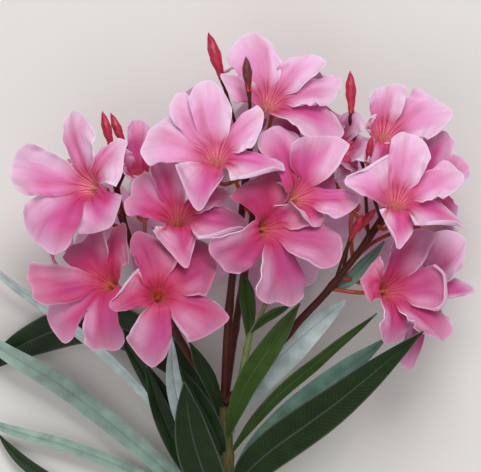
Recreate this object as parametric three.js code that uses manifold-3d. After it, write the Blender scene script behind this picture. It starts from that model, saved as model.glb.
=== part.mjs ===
// Cut flowering branch of an oleander, lying on its back.
// Millimetres, +Z up. The branch tip points to +Y and its best side looks up.
// Places in the tables are from the middle of the flower head, on the surface it lies on.
import * as THREE from 'three';
import * as BufferGeometryUtils from 'three/addons/utils/BufferGeometryUtils.js';
import Module from 'manifold-3d';

const wasm = await Module();
wasm.setup();

// Driving dimensions
const GAP = 0.35;              // clear space between two pieces that touch
const WELD = 1e-4;             // corners closer than this are one
const FINEST_STEP = 0.06;      // steps and slivers smaller than this are smoothed away
const PETAL_THICKNESS = 1.2;
const LEAF_THICKNESS = 1.2;
const RIM_RADIUS = 3.4;        // mouth of the flower's funnel
const NECK_RADIUS = 1.7;       // narrow part of the flower's tube
const CALYX_RADIUS = 2.3;
const PEDICEL_RADIUS = 0.9;
const BUD_STALK_RADIUS = 0.7;
const FUNNEL_DEPTH = 8;        // mouth to neck
const TUBE_DEPTH = 15;         // mouth to calyx
const CALYX_DEPTH = 4;
const PEDICEL_LEAD = 8;        // straight run behind the calyx before the pedicel turns to its stalk
const PEDICEL_TURN = 0.3;      // how far that turn is drawn towards the stalk
const BUD_LEAD = 5;            // straight run below a bud
const BUD_LEAD_SHARE = 0.4;    // share of the bud's stalk where its middle ring is
const PETAL_BASE_SHARE = 0.6;  // a petal starts this far out from the throat, as a share of the rim
const PETAL_ARCH_PLACE = 0.45; // where along a petal its arch is highest
const PETAL_ARCH = 0.1;        // height of the arch's control point, as a share of the petal's reach
const PETAL_WIDTH = 15;        // on the even blooms
const STEM_RADIUS = 3.1;
const PEDUNCLE_RADIUS = 1.6;
const HIDDEN_BELOW = 59;       // blooms with a lower throat are mostly covered, and plainer
const STEM_SIDES = 10;
const STALK_SIDES = 6;
const SHOOT_SIDES = 5;
const TUBE_SIDES = 5;
const BUD_STALK_SIDES = 4;
const FRAME_STEPS = 60;        // places along a limb where its turning is worked out
const UP = new THREE.Vector3(0, 0, 1);

// Outlines: share of the length, share of the half width
const PETAL_OUTLINE = [[0, 0.14], [0.45, 0.8], [0.8, 1], [1, 0.5]];
const PLAIN_PETAL_OUTLINE = [[0, 0.14], [0.7, 1], [1, 0.5]];
const LEAF_OUTLINE = [[0, 0.2], [0.3, 0.86], [0.65, 0.88], [1, 0.08]];
const BUD_OUTLINE = [[0, 0.5], [0.5, 1], [0.8, 0.75], [1, 0.12]];

// Stem and flower stalks: points along the middle line from the thick end, and both radii
const LIMBS = {
  main_stem: {
    path: [[-4, -142, 3.2], [-4, -128, 3.2], [-5, -98, 13], [-6, -64, 28]],
    radii: [STEM_RADIUS, 2.6], sides: STEM_SIDES, colour: 0x4a4a22,
  },
  side_shoot: {
    path: [[-4, -74, 24], [-1, -62, 31], [1, -50, 36], [3.5, -37, 42]],
    radii: [1.5, 1.2], sides: SHOOT_SIDES, colour: 0x7a8a4a,
  },
  side_shoot_fork: {
    path: [[3.5, -37, 42], [7, -31, 45], [10, -24, 46]],
    radii: [0.9, 0.8], sides: SHOOT_SIDES, colour: 0x7a8a4a,
  },
  peduncle_left: {
    path: [[-7, -64, 27], [-11, -57, 31], [-21, -42, 38], [-34, -18, 43], [-44, 6, 44], [-47, 22, 42]],
    radii: [PEDUNCLE_RADIUS, 1.2], sides: STALK_SIDES, colour: 0x5a3018,
  },
  peduncle_middle: {
    path: [[-6, -62, 29], [-5, -38, 38], [-3, -15, 43], [0, 5, 46], [2, 22, 46], [4, 36, 42]],
    radii: [PEDUNCLE_RADIUS, 1.2], sides: STALK_SIDES, colour: 0x4a2412,
  },
  peduncle_right: {
    path: [[-5, -62, 30], [3.5, -54, 34], [21, -33, 41], [33, -20, 45], [47, -2, 47], [56, 12, 44]],
    radii: [PEDUNCLE_RADIUS, 1.2], sides: STALK_SIDES, colour: 0x5a3018,
  },
  peduncle_back: {
    path: [[-6, -62, 25.5], [-2, -35, 26], [3, -5, 28], [5, 12, 30]],
    radii: [PEDUNCLE_RADIUS, 1.2], sides: STALK_SIDES, colour: 0x5a3018,
  },
};

// Blooms that show. throat is the middle of the mouth, faces is the way the flower looks,
// share is how far along its stalk the bloom is carried.
// A petal's row is its tip from the throat along X, Y and Z, its width and its roll in degrees.
const BLOOMS = {
  front_low: {
    throat: [-30, -22, 83], faces: [0.05, 0.12, 1], stalk: 'peduncle_left', share: 0.38,
    petals: [[-6, 25, -12, 18, 0], [18.5, 15, -12, 19, 0], [23, -12, -4, 20, 0],
      [-2, -27, -5, 17, 0], [-15, -2, 3, 12, 45]],
  },
  front_left: {
    throat: [-23, 5, 74], faces: [0.02, 0.4, 0.92], stalk: 'peduncle_left', share: 0.6,
    petals: [[-18, 10, -5, 20, 0], [-2, 22, -9, 17, 0], [19, 12, -7, 14, 0],
      [25, -2, -2, 13, 0], [3, -17, 10, 14, 0]],
  },
  upper_middle: {
    throat: [-9, 27, 80], faces: [0, 0.4, 0.92], stalk: 'peduncle_middle', share: 0.86,
    petals: [[-26, 7, -4, 18, 0], [-5.5, 29, -6, 22, 0], [15.5, 17, -4, 17, 0],
      [23.5, -3.5, -3, 15, 0], [-6.5, -18.5, 2, 17, 0]],
  },
  front_middle: {
    throat: [10, 3, 78], faces: [0.22, 0.08, 0.97], stalk: 'peduncle_middle', share: 0.62,
    petals: [[-1, 19, -6, 21, 0], [15, 6, -8, 13, 0], [26, -12, -6, 16, 0],
      [5, -27, -4, 19, 0], [-20, -10, 2, 16, 0]],
  },
  centre_right: {
    throat: [20, 14, 75], faces: [0.22, 0.3, 0.93], stalk: 'peduncle_middle', share: 0.74,
    petals: [[9.5, 20.5, -7, 20, 0], [-9.5, 22, -9, 13, 0], [24, -2, -5, 17, 0],
      [12, -15, 6, 14, -15], [-8, 2, -14, 9, 0]],
  },
  right: {
    throat: [57, 11, 74], faces: [0.1, 0.4, 0.92], stalk: 'peduncle_right', share: 0.9,
    petals: [[5, 26.5, -5, 16, 0], [22.5, 10, -6, 17, 0], [24.5, -6, -3, 13, -10],
      [-1, -15, 6, 17, 15], [-15.5, 11, 1, 20, 10]],
  },
  left_upper: {
    throat: [-54, 18, 66], faces: [-0.32, 0.28, 0.9], stalk: 'peduncle_left', share: 0.82,
    petals: [[-30, 7, -7, 20, 0], [-9, 29, -9, 14, 0], [12, 17, 0, 12, 45],
      [8, -14, 8, 19, 0], [-24, -20, -3, 18, 0]],
  },
  left_lower: {
    throat: [-48, -18, 60], faces: [-0.3, 0.25, 0.92], stalk: 'peduncle_left', share: 0.5,
    petals: [[-13, 20, -10, 18, 0], [6, 21, -7, 11, 40], [-29, 0, -3, 16, 0],
      [-17, -21, -2, 12, 0], [-2, -24, 0, 15, 0]],
  },
  right_low: {
    throat: [58, -19, 65], faces: [0.42, 0.12, 0.9], stalk: 'peduncle_right', share: 0.6,
    petals: [[-13, 3, 4, 17, 0], [3.5, 21, -8, 18, 0], [17, 2, -9, 14, 0],
      [19.5, -17, -6, 16, 0], [-5.5, -20, 0, 16, 0]],
  },
  top: {
    throat: [10, 48, 58], faces: [0.18, 0.42, 0.89], stalk: 'peduncle_middle', share: 0.94,
    petals: [[-7, 27, -9, 19, 0], [-17.5, 11, -1, 13, -20], [13, 19, -5, 15, 10],
      [24.5, 8, -4, 20, 0], [13, -9, 4, 11, 35]],
  },
  right_top: {
    throat: [53, 36, 56], faces: [0.15, 0.4, 0.9], stalk: 'peduncle_right', share: 0.97,
    petals: [[3, 19.5, -3, 15, 0], [23, 13, -5, 19, 0], [-7, 5, 4, 9, 40],
      [13, -11, -4, 14, 0], [-3, -14, 2, 14, 0]],
  },
  left_behind: {
    throat: [-38, 27, 52], faces: [0.1, 0.9, 0.3], stalk: 'peduncle_left', share: 0.92,
    petals: [[2, 16, 2, 10, 0], [-8, 9, -1, 9, 0], [9, 10, -3, 9, 0], [5, 3, 9, 9, 0], [-5, 6, -9, 9, 0]],
  },
  top_behind: {
    throat: [26, 30, 52], faces: [0.2, 0.4, 0.9], stalk: 'peduncle_middle', share: 0.8,
    petals: [[8, 17, -2, 13, 0], [-10, 16, -5, 13, 0], [18, -3, -6, 13, 0], [3, -16, 2, 13, 0], [-15, 0, -3, 12, 0]],
  },
  right_behind: {
    throat: [42, 36, 47], faces: [0.1, 0.9, 0.1], stalk: 'peduncle_right', share: 0.86,
    petals: [[-1, 11, 3, 10, 0], [6, 6, 5, 9, 0], [-9, 5, -4, 9, 0], [8, 8, -5, 9, 0], [0, 9, -11, 9, 0]],
  },
  far_right: {
    throat: [68, 17, 54], faces: [0.4, 0.3, 0.8], stalk: 'peduncle_right', share: 0.82,
    petals: [[17, 6, -6, 14, 0], [8, 17, -6, 14, 0], [-9, 11, 2, 13, 0], [-6, -12, 4, 13, 0], [11, -12, -2, 14, 0]],
  },
  far_right_low: {
    throat: [68, -21, 45], faces: [0.45, 0, 0.87], stalk: 'peduncle_right', share: 0.66,
    petals: [[16, 18, -7, 15, 0], [20, 1, -8, 9, 0], [-6, -28, 0, 11, 0], [-15, -4, 6, 13, 0], [-4, 19, 3, 13, 0]],
  },
};

// Blooms on the far side and round the flanks, which look down or outwards. Their five petals
// are even: reach is throat to tip, spin turns the first one in degrees and lift bends the tips
// back from flat.
const EVEN_BLOOMS = {
  back_left: {
    throat: [-40, 8, 4.8], faces: [-0.2, 0.05, -0.98], stalk: 'peduncle_left', share: 0.66,
    reach: 27, spin: 20, lift: 2,
  },
  back_middle: {
    throat: [-8, 34, 5.1], faces: [-0.1, 0.2, -0.97], stalk: 'peduncle_back', share: 0.93,
    reach: 27, spin: 50, lift: 2,
  },
  back_right: {
    throat: [46, 12, 5.3], faces: [0.2, 0.1, -0.97], stalk: 'peduncle_right', share: 0.74,
    reach: 27, spin: 10, lift: 2,
  },
  back_low: {
    throat: [5, -6, 5], faces: [0.05, -0.1, -0.99], stalk: 'peduncle_back', share: 0.55,
    reach: 27, spin: 36, lift: 3,
  },
  flank_left: {
    throat: [-70, 8, 33], faces: [-0.9, 0.1, -0.1], stalk: 'peduncle_left', share: 0.74,
    reach: 23, spin: 12, lift: 4,
  },
  flank_right: {
    throat: [76, 4, 30], faces: [0.9, 0.1, -0.25], stalk: 'peduncle_right', share: 0.7,
    reach: 22, spin: 30, lift: 4,
  },
  flank_top: {
    throat: [14, 62, 27], faces: [0.1, 0.9, -0.25], stalk: 'peduncle_middle', share: 0.86,
    reach: 23, spin: 0, lift: 4,
  },
};

// Buds: base, tip, the stalk that carries them and the share along it, and radius
const BUDS = {
  bud_top_left: { base: [-7, 59, 46], tip: [-12, 76, 46], stalk: 'peduncle_middle', share: 0.9, radius: 2.3 },
  bud_top: { base: [3, 54, 68], tip: [2, 66, 70], stalk: 'peduncle_middle', share: 0.94, radius: 1.8 },
  bud_left: { base: [-48, 33, 50], tip: [-51.5, 46.5, 50], stalk: 'peduncle_left', share: 0.97, radius: 1.8 },
  bud_left_inner: { base: [-43.5, 34, 47], tip: [-48.5, 46, 46], stalk: 'peduncle_left', share: 0.95, radius: 1.7 },
  bud_right_top: { base: [41, 46, 62], tip: [40.5, 61, 63], stalk: 'peduncle_right', share: 0.93, radius: 2 },
  bud_right_inner: { base: [47, 27, 60], tip: [48.5, 37, 63], stalk: 'peduncle_right', share: 0.84, radius: 1.4 },
  bud_right_low: { base: [44, 3, 56], tip: [50, 10, 60], stalk: 'peduncle_right', share: 0.68, radius: 1.6 },
  bud_right_low_inner: { base: [41, -1, 58], tip: [45, 8, 64], stalk: 'peduncle_right', share: 0.63, radius: 1.5 },
};

// Leaves: points along the midrib from the stem to the tip, width at the widest and roll in degrees
const LEAVES = {
  right_front: { path: [[-4, -97, 16], [8, -84, 28], [36, -62, 50], [67, -35, 72]], width: 15, roll: 0 },
  right_middle: { path: [[-4, -93, 14], [10, -77, 21], [33, -56, 32], [55, -38, 42]], width: 11, roll: 0 },
  right_narrow: { path: [[-5, -84, 19], [10, -64, 30], [30, -46, 38], [51, -29, 44]], width: 6, roll: 35 },
  front_olive: { path: [[-5, -76, 25], [2, -56, 42], [12, -40, 51], [22, -25, 56]], width: 9, roll: 0 },
  right_pale: { path: [[-6, -72, 22], [8, -53, 27], [22, -39, 32], [40, -24, 34]], width: 13, roll: 0 },
  front: { path: [[-5, -107, 12], [-12, -94, 26], [-18, -75, 42], [-21, -54, 58]], width: 15, roll: 0 },
  front_narrow: { path: [[-6, -84, 21], [-10, -74, 28], [-16, -62, 36], [-22, -50, 42]], width: 8, roll: 0 },
  left_short: { path: [[-6, -73, 23.5], [-11, -56, 35], [-15, -48, 40], [-19, -40, 45]], width: 6, roll: 20 },
  left_teal: { path: [[-6, -98, 13], [-19, -76, 20], [-25, -56, 26], [-26, -38, 30]], width: 7, roll: 0 },
  left_dark: { path: [[-6, -104, 11], [-20, -87, 17], [-30, -67, 22], [-36, -49, 26]], width: 8, roll: 0 },
  left_inner: { path: [[-6, -90, 14], [-22, -72, 15], [-33, -57, 17], [-46, -38, 18]], width: 8, roll: 0 },
  left_edge: { path: [[-6, -101, 10], [-26, -77, 10], [-53, -45, 12], [-88, -18, 14], [-101, -6, 14]], width: 9, roll: 55 },
  left_long: { path: [[-5, -112, 7], [-28, -90, 9], [-67, -58, 12], [-90, -44, 13], [-104, -34, 12]], width: 8, roll: 0 },
  left_low: { path: [[-5, -110, 6], [-25, -98, 5], [-62, -82, 7], [-89, -74, 8], [-103, -69, 8]], width: 5, roll: 20 },
  left_lowest: { path: [[-5, -126, 3], [-30, -116, 3], [-60, -102, 4], [-84, -86, 5], [-93, -76, 5]], width: 6, roll: 0 },
  left_broad: { path: [[-6, -70, 25], [-30, -44, 10], [-55, -33, 5], [-80, -40, 4], [-100, -52, 4]], width: 16, roll: 0 },
  shoot: { path: [[3, -40, 39], [3, -28, 39], [2, -20, 38], [1, -14, 37]], width: 6, roll: 0 },
  shoot_right: { path: [[4, -36, 44], [9, -31, 49], [14, -28, 51], [18.5, -26, 53]], width: 3.5, roll: 0 },
  peduncle: { path: [[33, -20, 43], [40, -17, 41], [47, -10, 41], [54, -2, 40]], width: 5, roll: 0 },
};

const COLOURS = { petal: 0xe083ba, bud: 0xa8143a, leaf: 0x2c3f14 };

function vector(point) {
  return new THREE.Vector3(...point);
}

function smoothCurve(path) {
  return new THREE.CatmullRomCurve3(path.map(vector), false, 'centripetal');
}

// The end ring moved straight out, away from the ring before it.
function ringMovedOut(ring, ringBefore, distance) {
  const middleOf = (points) => points.reduce((sum, point) => sum.add(point), new THREE.Vector3())
    .divideScalar(points.length);
  const step = middleOf(ring).sub(middleOf(ringBefore)).setLength(distance);
  return ring.map((point) => point.clone().add(step));
}

// One closed body through a row of rings that have the same number of points.
// A grown body is longer by grow at both ends.
function loft(rings, grow) {
  if (grow > 0) {
    const [first, second] = rings;
    const [beforeLast, end] = rings.slice(-2);
    const grown = [ringMovedOut(first, second, grow), ...rings.slice(1, -1), ringMovedOut(end, beforeLast, grow)];
    return loft(grown, 0);
  }
  const sides = rings[0].length;
  const index = [];
  for (let ring = 0; ring < rings.length - 1; ring += 1) {
    for (let side = 0; side < sides; side += 1) {
      const here = ring * sides + side;
      const beside = ring * sides + (side + 1) % sides;
      index.push(here, beside, beside + sides, here, beside + sides, here + sides);
    }
  }
  const last = (rings.length - 1) * sides;
  for (let side = 1; side < sides - 1; side += 1) {
    index.push(0, side + 1, side);
    index.push(last, last + side, last + side + 1);
  }
  const positions = rings.flat().flatMap((point) => point.toArray());
  const geometry = new THREE.BufferGeometry();
  geometry.setAttribute('position', new THREE.Float32BufferAttribute(positions, 3));
  geometry.setIndex(index);
  return geometry;
}

// Round limb along a curve. Each station is a share of its length and a radius.
function limb(curve, stations, sides, grow) {
  const frames = curve.computeFrenetFrames(FRAME_STEPS, false);
  const rings = stations.map(([share, radius]) => {
    const centre = curve.getPointAt(share);
    const frame = Math.round(share * FRAME_STEPS);
    return Array.from({ length: sides }, (_, side) => {
      const angle = (side / sides) * 2 * Math.PI;
      return centre.clone()
        .addScaledVector(frames.normals[frame], (radius + grow) * Math.cos(angle))
        .addScaledVector(frames.binormals[frame], (radius + grow) * Math.sin(angle));
    });
  });
  return loft(rings, grow);
}

// Thin blade along a curve, for a petal or a leaf.
function blade({ curve, facing, outline, width, roll, thickness, grow }) {
  const rings = outline.map(([share, halfShare]) => {
    const centre = curve.getPoint(share);
    const along = curve.getTangent(share);
    const normal = facing.clone().addScaledVector(along, -facing.dot(along)).normalize();
    normal.applyAxisAngle(along, THREE.MathUtils.degToRad(roll));
    const across = along.clone().cross(normal);
    const corner = (side, level) => centre.clone()
      .addScaledVector(across, side * (halfShare * width / 2 + grow))
      .addScaledVector(normal, level * (thickness / 2 + grow));
    return [corner(-1, 1), corner(1, 1), corner(1, -1), corner(-1, -1)];
  });
  return loft(rings, grow);
}

function limbGeometry(name, grow) {
  const { path, radii: [thick, thin], sides } = LIMBS[name];
  const steps = path.length;
  const stations = Array.from({ length: steps + 1 }, (_, step) => {
    const share = step / steps;
    return [share, thick + (thin - thick) * share];
  });
  return limb(smoothCurve(path), stations, sides, grow);
}

function stalkSeat({ stalk, share }) {
  return smoothCurve(LIMBS[stalk].path).getPointAt(share);
}

// Tube, calyx and pedicel of a bloom, from the throat back to its stalk.
function tubeGeometry(bloom, grow) {
  const throat = vector(bloom.throat);
  const axis = vector(bloom.faces).normalize();
  const seat = stalkSeat(bloom);
  const calyx = throat.clone().addScaledVector(axis, -TUBE_DEPTH);
  const bend = calyx.clone().addScaledVector(axis, -PEDICEL_LEAD).lerp(seat, PEDICEL_TURN);
  const curve = new THREE.CatmullRomCurve3([throat, calyx, bend, seat], false, 'centripetal');
  const length = curve.getLength();
  const stations = [
    [0, RIM_RADIUS],
    [FUNNEL_DEPTH / length, NECK_RADIUS],
    [TUBE_DEPTH / length, CALYX_RADIUS],
    [(TUBE_DEPTH + CALYX_DEPTH) / length, PEDICEL_RADIUS],
    [1, PEDICEL_RADIUS],
  ];
  return limb(curve, stations, TUBE_SIDES, grow);
}

// A petal's middle line runs from the funnel's rim over a low arch to the tip.
function petalGeometry(bloom, [x, y, z, width, roll], outline, grow) {
  const throat = vector(bloom.throat);
  const axis = vector(bloom.faces).normalize();
  const reach = new THREE.Vector3(x, y, z);
  const tip = throat.clone().add(reach);
  const outward = reach.clone().addScaledVector(axis, -reach.dot(axis)).normalize();
  const base = throat.clone().addScaledVector(outward, RIM_RADIUS * PETAL_BASE_SHARE);
  base.addScaledVector(axis, -PETAL_THICKNESS);
  const middle = base.clone().lerp(tip, PETAL_ARCH_PLACE)
    .addScaledVector(axis, reach.length() * PETAL_ARCH);
  return blade({
    curve: new THREE.QuadraticBezierCurve3(base, middle, tip),
    facing: axis,
    outline,
    width,
    roll,
    thickness: PETAL_THICKNESS,
    grow,
  });
}

function evenPetals({ faces, reach, spin, lift }) {
  const axis = vector(faces).normalize();
  const first = new THREE.Vector3(1, 0, 0).cross(axis).normalize();
  return Array.from({ length: 5 }, (_, petal) => {
    const angle = THREE.MathUtils.degToRad(spin + 72 * petal);
    const tip = first.clone().applyAxisAngle(axis, angle).multiplyScalar(reach);
    tip.addScaledVector(axis, -lift);
    return [...tip.toArray(), PETAL_WIDTH, 0];
  });
}

function budGeometry(bud, grow) {
  const line = new THREE.LineCurve3(vector(bud.base), vector(bud.tip));
  return limb(line, BUD_OUTLINE.map(([share, width]) => [share, bud.radius * width]), TUBE_SIDES, grow);
}

function budStalkGeometry(bud, grow) {
  const base = vector(bud.base);
  const into = base.clone().sub(vector(bud.tip)).setLength(BUD_LEAD).add(base);
  const path = new THREE.CatmullRomCurve3([base, into, stalkSeat(bud)], false, 'centripetal');
  const stations = [0, BUD_LEAD_SHARE, 1].map((share) => [share, BUD_STALK_RADIUS]);
  return limb(path, stations, BUD_STALK_SIDES, grow);
}

function leafGeometry(leaf, grow) {
  return blade({
    curve: smoothCurve(leaf.path),
    facing: UP,
    outline: LEAF_OUTLINE,
    width: leaf.width,
    roll: leaf.roll,
    thickness: LEAF_THICKNESS,
    grow,
  });
}

function toSolid(geometry) {
  const merged = BufferGeometryUtils.mergeVertices(geometry, WELD);
  return new wasm.Manifold(new wasm.Mesh({
    numProp: 3,
    vertProperties: Float32Array.from(merged.attributes.position.array),
    triVerts: Uint32Array.from(merged.index.array),
  }));
}

function toGeometry(solid) {
  const mesh = solid.getMesh();
  const geometry = new THREE.BufferGeometry();
  geometry.setAttribute('position', new THREE.Float32BufferAttribute(mesh.vertProperties, 3));
  geometry.setIndex(new THREE.Uint32BufferAttribute(mesh.triVerts, 1));
  return geometry;
}

function join(geometries) {
  const solids = geometries.map(toSolid);
  return solids.slice(1).reduce((whole, solid) => whole.add(solid), solids[0]);
}

function boxesMeet(one, other) {
  const a = one.boundingBox();
  const b = other.boundingBox();
  return [0, 1, 2].every((axis) => a.min[axis] <= b.max[axis] && b.min[axis] <= a.max[axis]);
}

function cutClear(solid, neighbours) {
  return neighbours.filter((other) => boxesMeet(solid, other))
    .reduce((whole, other) => whole.subtract(other), solid);
}

function largestPart(solid) {
  return solid.decompose().reduce((best, part) => (part.volume() > best.volume() ? part : best));
}

// Each piece has a core that others make room for, and blades that make room for every core.
const pieces = [];
for (const [name, { colour }] of Object.entries(LIMBS)) {
  pieces.push({ name, colour, core: (grow) => [limbGeometry(name, grow)], blades: () => [] });
}
for (const [name, bud] of Object.entries(BUDS)) {
  pieces.push({
    name,
    colour: COLOURS.bud,
    core: (grow) => [budGeometry(bud, grow), budStalkGeometry(bud, grow)],
    blades: () => [],
  });
}
for (const [name, bloom] of Object.entries({ ...BLOOMS, ...EVEN_BLOOMS })) {
  const petals = bloom.petals ?? evenPetals(bloom);
  const outline = bloom.throat[2] > HIDDEN_BELOW ? PETAL_OUTLINE : PLAIN_PETAL_OUTLINE;
  pieces.push({
    name: `bloom_${name}`,
    colour: COLOURS.petal,
    core: (grow) => [tubeGeometry(bloom, grow)],
    blades: (grow) => petals.map((row) => petalGeometry(bloom, row, outline, grow)),
  });
}
for (const [name, leaf] of Object.entries(LEAVES)) {
  pieces.push({
    name: `leaf_${name}`,
    colour: COLOURS.leaf,
    core: () => [],
    blades: (grow) => [leafGeometry(leaf, grow)],
  });
}

for (const piece of pieces) {
  const grownCore = piece.core(GAP);
  const grownBlades = piece.blades(GAP);
  piece.coreRoom = grownCore.length ? [join(grownCore)] : [];
  piece.bladeRoom = grownBlades.length ? [join(grownBlades)] : [];
}

const branch = new THREE.Group();
pieces.forEach((piece, place) => {
  const earlier = pieces.slice(0, place);
  const others = pieces.filter((other) => other !== piece);
  const parts = [];
  if (piece.coreRoom.length) {
    parts.push(cutClear(join(piece.core(0)), earlier.flatMap((other) => other.coreRoom)));
  }
  if (piece.bladeRoom.length) {
    const neighbours = [
      ...others.flatMap((other) => other.coreRoom),
      ...earlier.flatMap((other) => other.bladeRoom),
    ];
    parts.push(cutClear(join(piece.blades(0)), neighbours));
  }
  const solid = largestPart(parts.reduce((whole, part) => whole.add(part))).simplify(FINEST_STEP);
  const material = new THREE.MeshStandardMaterial({ color: piece.colour, roughness: 0.6, metalness: 0 });
  const mesh = new THREE.Mesh(toGeometry(solid), material);
  mesh.name = piece.name;
  branch.add(mesh);
});

// The origin goes under the middle of the branch's box.
const box = new THREE.Box3().setFromObject(branch);
const middle = box.getCenter(new THREE.Vector3());
branch.position.set(-middle.x, -middle.y, -box.min.z);

export default branch;
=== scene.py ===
"""Looks of a cut flowering oleander branch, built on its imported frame.

It is laid out as an add-on and run as a script.
"""
import math
import random

import bpy
import numpy as np
from bpy.props import FloatProperty, FloatVectorProperty, IntProperty, PointerProperty
from mathutils import Matrix, Vector


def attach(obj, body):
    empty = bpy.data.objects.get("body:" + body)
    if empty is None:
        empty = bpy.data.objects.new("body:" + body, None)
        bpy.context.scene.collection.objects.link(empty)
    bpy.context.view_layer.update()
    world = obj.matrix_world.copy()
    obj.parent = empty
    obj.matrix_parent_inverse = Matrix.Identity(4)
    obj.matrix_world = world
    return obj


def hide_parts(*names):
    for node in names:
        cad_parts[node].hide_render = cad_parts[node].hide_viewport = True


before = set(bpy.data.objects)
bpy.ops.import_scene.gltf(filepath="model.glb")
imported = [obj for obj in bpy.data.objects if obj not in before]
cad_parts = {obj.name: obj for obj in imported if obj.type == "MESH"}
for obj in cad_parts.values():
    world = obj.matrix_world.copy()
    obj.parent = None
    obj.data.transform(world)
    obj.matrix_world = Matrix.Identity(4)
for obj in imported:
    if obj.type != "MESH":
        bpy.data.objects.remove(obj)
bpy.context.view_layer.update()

bl_info = {
    "name": "Cut oleander branch",
    "version": (1, 0, 0),
    "blender": (4, 5, 0),
    "location": "View3D > Sidebar > Oleander",
    "description": "Builds petals, buds, leaves and stems of a cut flowering branch on its packed frame",
    "category": "Object",
}

# Places in the tables are millimetres from the middle of the flower head, on the surface it lies on.
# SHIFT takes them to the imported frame, whose origin is under the middle of the branch's box.
MM = 0.001
SHIFT = np.array([7.914, 32.963, -0.252])
UP = np.array([0.0, 0.0, 1.0])
CIRCLE = 2 * math.pi

PETALS = 5

# The flower's bell: radius and height above the mouth of its wall, from the neck outwards, in millimetres
BELL_WALL = [(1.5, -9.0), (1.9, -7.0), (2.7, -4.6), (4.0, -2.2), (5.8, -0.5)]
# How far the calyx lies behind the throat, and how far the stalks of blooms and buds first run straight on
TUBE_DEPTH = 15.0
PEDICEL_LEAD = 8.0
BUD_LEAD = 5.0
# Share of the way to its seat that a bloom's stalk has bent by then
PEDICEL_TURN = 0.3
# A bloom whose axis points up by more than LOOKS_UP has a bell that leans over further, BELL_LEAN times as
# far sideways, and its mouth's middle lies MOUTH_ASIDE millimetres that way.
LOOKS_UP = 0.7
BELL_LEAN = 1.8
MOUTH_ASIDE = 4.0

# Outlines: share of the length, share of the half width
LEAF_OUTLINE = [
    (0, 0.16), (0.1, 0.42), (0.25, 0.8), (0.42, 0.98), (0.58, 0.98), (0.76, 0.74), (0.9, 0.38), (1, 0.03),
]
BUD_OUTLINE = [(0, 0.5), (0.2, 0.7), (0.45, 1.0), (0.62, 0.95), (0.8, 0.66), (0.93, 0.3), (1, 0.06)]

# How a petal is bent. cup raises both margins and tip bends the end up, as shares of its half width or
# length. left and right roll a margin over and end rolls the end over, in degrees, from the place across the
# petal that end_from gives, which is -1 at the left margin and 1 at the right. wave is in millimetres.
UNROLLED = {"left": 0, "right": 0, "end": 0, "end_from": 0}
PETAL_BENDS = {
    "open": {"cup": 0.06, "right": 35, "tip": -0.06, "wave": 0.5},
    "cupped": {"cup": 0.3, "right": 30, "tip": 0.02, "wave": 0.45},
    "drooped": {"cup": -0.1, "right": 20, "tip": -0.16, "wave": 0.5},
    "hemmed": {"cup": 0.1, "right": 20, "tip": 0.0, "end": 150, "wave": 0.3},
    "turned_back": {"cup": 0.2, "tip": 0.05, "end": 150, "end_from": -1.3, "wave": 0.3},
    "tip_up": {"cup": 0.14, "left": 10, "right": 40, "tip": 0.14, "wave": 0.5},
    "ruffled": {"cup": 0.06, "left": 25, "right": 60, "tip": -0.02, "wave": 1.15},
}
# Parts of the half width and of the length that roll over, and the share of such a strip that is curved,
# with the rest straight
ROLLED_STRIP = 0.24
ROLLED_END = 0.18
ROLL_SHARE = 0.5

# Petals: rise of the middle above the line from foot to tip, as a share of the length, and the share of the
# length that the middle line runs on past the tip
PETAL_ARCH = 0.09
TIP_BEYOND = 0.2
# Half width where a petal leaves the bell, and how far sideways a corner may lie, in millimetres
MOUTH_SECTOR = 3.6
MOST_SIDE = 20.0
# The shares of the blade's length between which a corner may lie
LEAST_SHARE = 0.1
MOST_SHARE = 1.2
# Power of the width's growth along the blade, where less is fuller, and how much narrower the end is
MARGIN_FULLNESS = 0.58
CORNER_ROUND = 0.04
# Depth of the notch in the end and how far the end's sides fall back, as shares of the length, and the power
# of that fall across the end
NOTCH_DEPTH = 0.025
END_FALL = 0.05
END_FALL_POWER = 8
# Height of soft creases and depth of the groove along the middle, in millimetres
CREASE_HEIGHT = 0.32
GROOVE_DEPTH = 0.6
# Widths of the notch and the groove and how far the notch strays from the middle, as shares of the half
# width
NOTCH_WIDTH = 0.22
GROOVE_WIDTH = 0.2
NOTCH_STRAY = 0.3
# Slope across a petal, which lifts one margin over its neighbour's, and how much of it is gone at the end
PINWHEEL_SLOPE = 0.16
PINWHEEL_FADE = 0.4
# How much of the margins' roll is gone at the end, how it varies from petal to petal, and over what part of
# the half width the end's roll grows
ROLL_FADE = 0.4
ROLL_VARIES = (0.8, 1.1)
END_FROM_BLEND = 0.3
# Turns of the waves along the left margin, how much faster they run along the right one, and the power with
# which they grow towards the margin
MARGIN_TURNS = (1.8, 2.6)
RIGHT_MARGIN_FASTER = 1.15
MARGIN_WAVE_POWER = 1.7
# Turns of the end's waves across it and their share of the wave, turns of the creases across and along, and
# the power with which the tip bends
END_TURNS = 1.1
END_WAVE_SHARE = 0.6
CREASE_TURNS = (1.3, 0.6)
TIP_BEND_POWER = 1.5
# How much the end is rounded between corner and tip, how much more where a corner stands near the tip, and
# the shares of the length between which that grows
LEAST_BULGE = 0.02
MORE_BULGE = 0.12
BULGE_GROWS = (0.4, 0.8)
# Shares of the blade's length over which each part of its shape sets in
SETS_IN = {
    "clear of the bell": (0, 0.28), "blade": (0, 0.3), "creases": (0, 0.4), "rolls": (0.08, 0.4),
    "margin waves": (0.25, 0.7), "tip bend": (0.55, 1), "end waves": (0.7, 1), "end": (0.8, 1),
}
# The widest angle round the mouth that counts between two petals
WIDEST_SECTOR = math.radians(150)
# Painted light and shade: the change of tone for each millimetre that a petal's tip lies nearer the branch's
# tip, where the key light comes from, than the throat. Also how far the tones of one bloom's petals stray
PAINTED_LIGHT_SLOPE = 0.012
TONE_SPREAD = 0.08

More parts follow.
